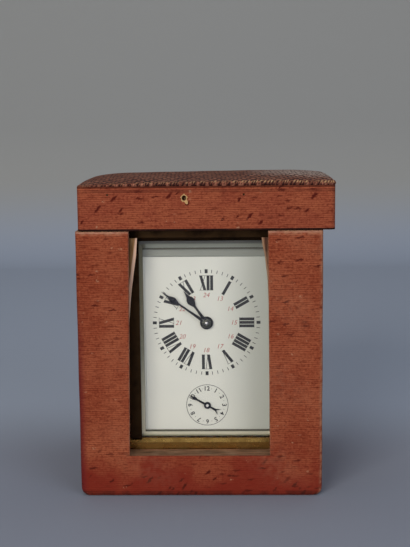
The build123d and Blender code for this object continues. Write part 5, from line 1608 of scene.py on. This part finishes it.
@dataclass
class Fastenings:
    """Rivets, slotted screws and the hands' collets: small turned pieces."""

    hinge_x: Pair = (-30.0, 34.0)
    leaf_back: float = 48.8
    leaf_inset: float = 4.2
    rivet_step: float = 5.5
    rivet_offset: float = 2.0
    rivet_r: float = 1.0
    rivet_h: float = 0.55
    screw_h: float = 0.9
    slot_w: float = 0.35
    slot_d: float = 0.45
    plate_back: float = 10.2
    plate_inset: Pair = (3.5, 3.0)
    plate_z: Pair = (28.0, 84.5)
    plate_foot: Pair = (16.65, 27.0)
    plate_screw_r: float = 1.5
    platform_spots: tuple[Pair, ...] = ((-12.6, -15.0), (21.9, -15.0), (-12.6, 5.5), (21.9, 5.5))
    platform_screw_r: float = 1.2
    cock_spot: Pair = (3.25, -15.5)
    cock_screw_r: float = 1.3
    hands_x: float = 2.65
    minute_z: float = 75.6
    alarm_z: float = 37.2
    minute_collet_r: float = 2.2
    alarm_collet_r: float = 0.85
    minute_pin_out: float = 0.35
    alarm_pin_out: float = 0.3
    alarm_pin_size: float = 0.6

    def rivet(self, at: Point, axis: str, size: float = 1.0) -> Shape:
        """A low domed head, its profile a quarter of an ellipse.

        Args:
            at: The middle of its foot.
            axis: Where it points.
            size: Share of a rivet's size.

        Returns:
            Points and faces.
        """
        r, h = self.rivet_r * size, self.rivet_h * size
        dome = [(h * math.cos(v), r * math.sin(v)) for v in np.linspace(QUARTER, 0, 6)]
        return turned([(-0.1, 0.0), (-0.1, r), *dome], at, axis, 16)

    def screw(self, at: Point, axis: str, radius: float) -> Shape:
        """A cheese head with a slot: the top rings dip where they cross the slot.

        Args:
            at: The middle of its foot.
            axis: Where it points.
            radius: The head's radius.

        Returns:
            Points and faces.
        """
        h = self.screw_h
        profile = [(0.0, 0.0), (0.0, radius), (h * 0.8, radius), (h, radius * 0.86),
                   (h, radius * 0.45), (h, 0.0)]
        points, faces = turned(profile, (0, 0, 0), axis)
        k = AXES.index(axis)
        cut = (np.abs(points[:, (k + 1) % 3]) < self.slot_w) & (points[:, k] > h * 0.7)
        points[cut, k] -= h * self.slot_d
        return points + np.array(at), faces

    def hinge_rivets(self, node: str, top: bool) -> Shape:
        """Three rivets on each hinge leaf of a node.

        Args:
            node: The CAD node of the leaves.
            top: Whether the rivets stand near the leaves' upper edge.

        Returns:
            Points and faces.
        """
        low, high = box_mm(node)
        way = 1 if top else -1
        z = (high if top else low)[2] - way * self.leaf_inset
        return joined([
            self.rivet((x + dx, self.leaf_back, z + way * (self.rivet_offset if dx == 0 else 0)), "Y")
            for x in self.hinge_x for dx in (-self.rivet_step, 0.0, self.rivet_step)])

    def collet(self, at: Point, radius: float) -> Shape:
        """A ringed collet: steps and grooves at fixed shares of its radius.

        Args:
            at: The middle of its foot.
            radius: Its radius.

        Returns:
            Points and faces.
        """
        steps = ((0.0, 0.0), (0.0, 1.0), (0.14, 1.0), (0.22, 0.88), (0.10, 0.74), (0.24, 0.60),
                 (0.30, 0.45), (0.16, 0.34), (0.36, 0.26), (0.40, 0.12), (0.40, 0.0))
        return turned([(h, radius * share) for h, share in steps], at, "-Y", 32)

    def build(self, shop: Workshop) -> None:
        """Places every small fastening on what it holds.

        Args:
            shop: Makes and dresses the pieces.
        """
        platform, cock = (box_mm(node)[1][2] for node in ("platform_plate", "balance_cock"))
        minute, alarm = (box_mm(node)[0][1] for node in ("minute_hand", "alarm_hand"))
        low, high = box_mm("back_plate")
        left, right = low[0] + self.plate_inset[0], high[0] - self.plate_inset[1]
        foot, head = self.plate_z
        plate = [self.screw((x, self.plate_back, z), "Y", self.plate_screw_r)
                 for x, z in ((left, foot), self.plate_foot, (left, head), (right, head))]
        top = [self.screw((x, y, platform), "Z", self.platform_screw_r)
               for x, y in self.platform_spots]
        top.append(self.screw((*self.cock_spot, cock), "Z", self.cock_screw_r))
        for name, shape, finish, body, slot in (
                ("case_hinge_rivets", self.hinge_rivets("hinge_case_halves", False), HINGE,
                 Body.CASE, Slot.HINGE_BRASS),
                ("lid_hinge_rivets", self.hinge_rivets("hinge_lid_halves", True), HINGE,
                 Body.LID, Slot.HINGE_BRASS),
                ("plate_screws", joined(plate), BLUE, Body.CASE, Slot.BLUE_STEEL),
                ("platform_screws", joined(top), BLUE, Body.CASE, Slot.BLUE_STEEL),
                ("minute_collet", self.collet((self.hands_x, minute, self.minute_z),
                                              self.minute_collet_r), COLLET,
                 Body.MINUTE, Slot.BLACK_STEEL),
                ("minute_pin", self.rivet((self.hands_x, minute - self.minute_pin_out,
                                          self.minute_z), "-Y"), STEEL,
                 Body.MINUTE, Slot.STEEL),
                ("alarm_collet", self.collet((self.hands_x, alarm, self.alarm_z),
                                             self.alarm_collet_r), COLLET,
                 Body.ALARM_SETTING, Slot.BLACK_STEEL),
                ("alarm_pin", self.rivet((self.hands_x, alarm - self.alarm_pin_out,
                                         self.alarm_z), "-Y", self.alarm_pin_size), PIN_STEEL,
                 Body.ALARM_SETTING, Slot.STEEL)):
            shop.give(shop.mesh(name, shape), finish, body, slot)


@dataclass
class Studio:
    """Pale floor, soft lamps and the camera at the photograph's place.

    A lamp is its name, its place and size in metres, its power in watts and its colour.
    """

    eye: Point = (13.41, -505.94, 166.28)
    yaw: float = -1.36
    pitch: float = 8.17
    roll: float = -0.55
    focal_px: float = 1065.9
    long_side_px: float = 547.0
    sensor: float = 36.0
    wall: float = 0.85
    cove: float = 0.16
    reach: float = 3.0
    world: str = "#C4C6CA"
    world_strength: float = 0.33
    aim: Point = (0.0, 0.0, 0.07)
    lamps: tuple[tuple[str, Point, float, float, str], ...] = (
        ("key_lamp", (-0.62, -1.45, 0.66), 0.8, 16.0, "#FFF9F0"),
        ("fill_lamp", (0.95, -1.3, 0.6), 0.9, 6.6, "#F1F4FF"),
        ("top_lamp", (0.0, 0.1, 1.5), 0.9, 3.4, "#FFFFFF"))

    def camera(self) -> None:
        """Turns the camera by yaw, pitch and roll, worked out as three unit vectors."""
        yaw, pitch, roll = (math.radians(v) for v in (self.yaw, self.pitch, self.roll))
        ahead = Vector((math.sin(yaw) * math.cos(pitch), math.cos(yaw) * math.cos(pitch),
                        -math.sin(pitch)))
        level = Vector((math.cos(yaw), -math.sin(yaw), 0))
        up = level.cross(ahead)
        right = level * math.cos(roll) + up * math.sin(roll)
        up = up * math.cos(roll) - level * math.sin(roll)
        data = bpy.data.cameras.new("camera")
        data.sensor_width = self.sensor
        data.lens = self.focal_px / self.long_side_px * self.sensor
        made = bpy.data.objects.new("camera", data)
        turn = Matrix((right, up, -ahead)).transposed().to_4x4()
        made.matrix_world = Matrix.Translation(Vector(self.eye) * MM) @ turn
        bpy.context.scene.collection.objects.link(made)
        bpy.context.scene.camera = made

    def light(self) -> None:
        """Three square soft lamps aimed at the clock's middle, and an even world."""
        for name, at, size, power, colour in self.lamps:
            data = bpy.data.lights.new(name, "AREA")
            data.energy, data.size, data.color = power, size, linear(colour)[:3]
            made = bpy.data.objects.new(name, data)
            made.location = at
            aim = Vector(self.aim) - Vector(at)
            made.rotation_euler = aim.to_track_quat("-Z", "Y").to_euler()
            bpy.context.scene.collection.objects.link(made)
        world = bpy.data.worlds.new("studio")
        world.use_nodes = True
        ground = world.node_tree.nodes["Background"]
        ground.inputs["Color"].default_value = linear(self.world)
        ground.inputs["Strength"].default_value = self.world_strength
        bpy.context.scene.world = world

    def build(self, shop: Workshop) -> None:
        """A floor that curves up to a backdrop by a quarter circle, with lamps and camera.

        Args:
            shop: Makes the floor's mesh and paper.
        """
        turn = np.linspace(0, QUARTER, 14)
        foot = self.wall - self.cove
        run = np.concatenate([np.linspace(-self.reach, foot, 12)[:-1],
                              foot + self.cove * np.sin(turn), np.full(6, self.wall)])
        rise = np.concatenate([np.zeros(11), self.cove - self.cove * np.cos(turn),
                               np.linspace(self.cove + 0.2, self.reach, 6)])
        wide = np.linspace(-self.reach, self.reach, 8)
        points = np.stack([np.tile(wide, len(run)), np.repeat(run, 8), np.repeat(rise, 8)], 1) / MM
        sweep = shop.mesh("studio_floor", (points, grid_faces(len(run), 8)))
        sweep.data.materials.append(shop.finish(PAPER))
        bpy.context.scene.view_settings.view_transform = "Standard"
        self.light()
        self.camera()


def main() -> None:
    """Builds every sub-assembly in order."""
    logging.basicConfig(level=logging.INFO, format="%(name)s %(message)s")
    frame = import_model()
    shop = Workshop()
    Studio().build(shop)
    shop.dress(frame["nodes"])
    TravellingCase().build(shop)
    PaddedLid().build(shop, frame["nodes"])
    Dial().build(shop)
    GlassRebate().build(shop)
    SpiralSpring("wound_mainspring", "mainspring", (-8.339, 59.370), "Y", inner=3.0, outer=13.3,
                 turns=8.0, thickness=0.45, start=235.9).build(shop)
    SpiralSpring("balance_hairspring", "hairspring", (3.25, -1.17), "Z", inner=1.25, outer=4.75,
                 turns=9.0, thickness=0.12, steps=600).build(shop)
    Fastenings().build(shop)


if __name__ == "__main__":
    main()
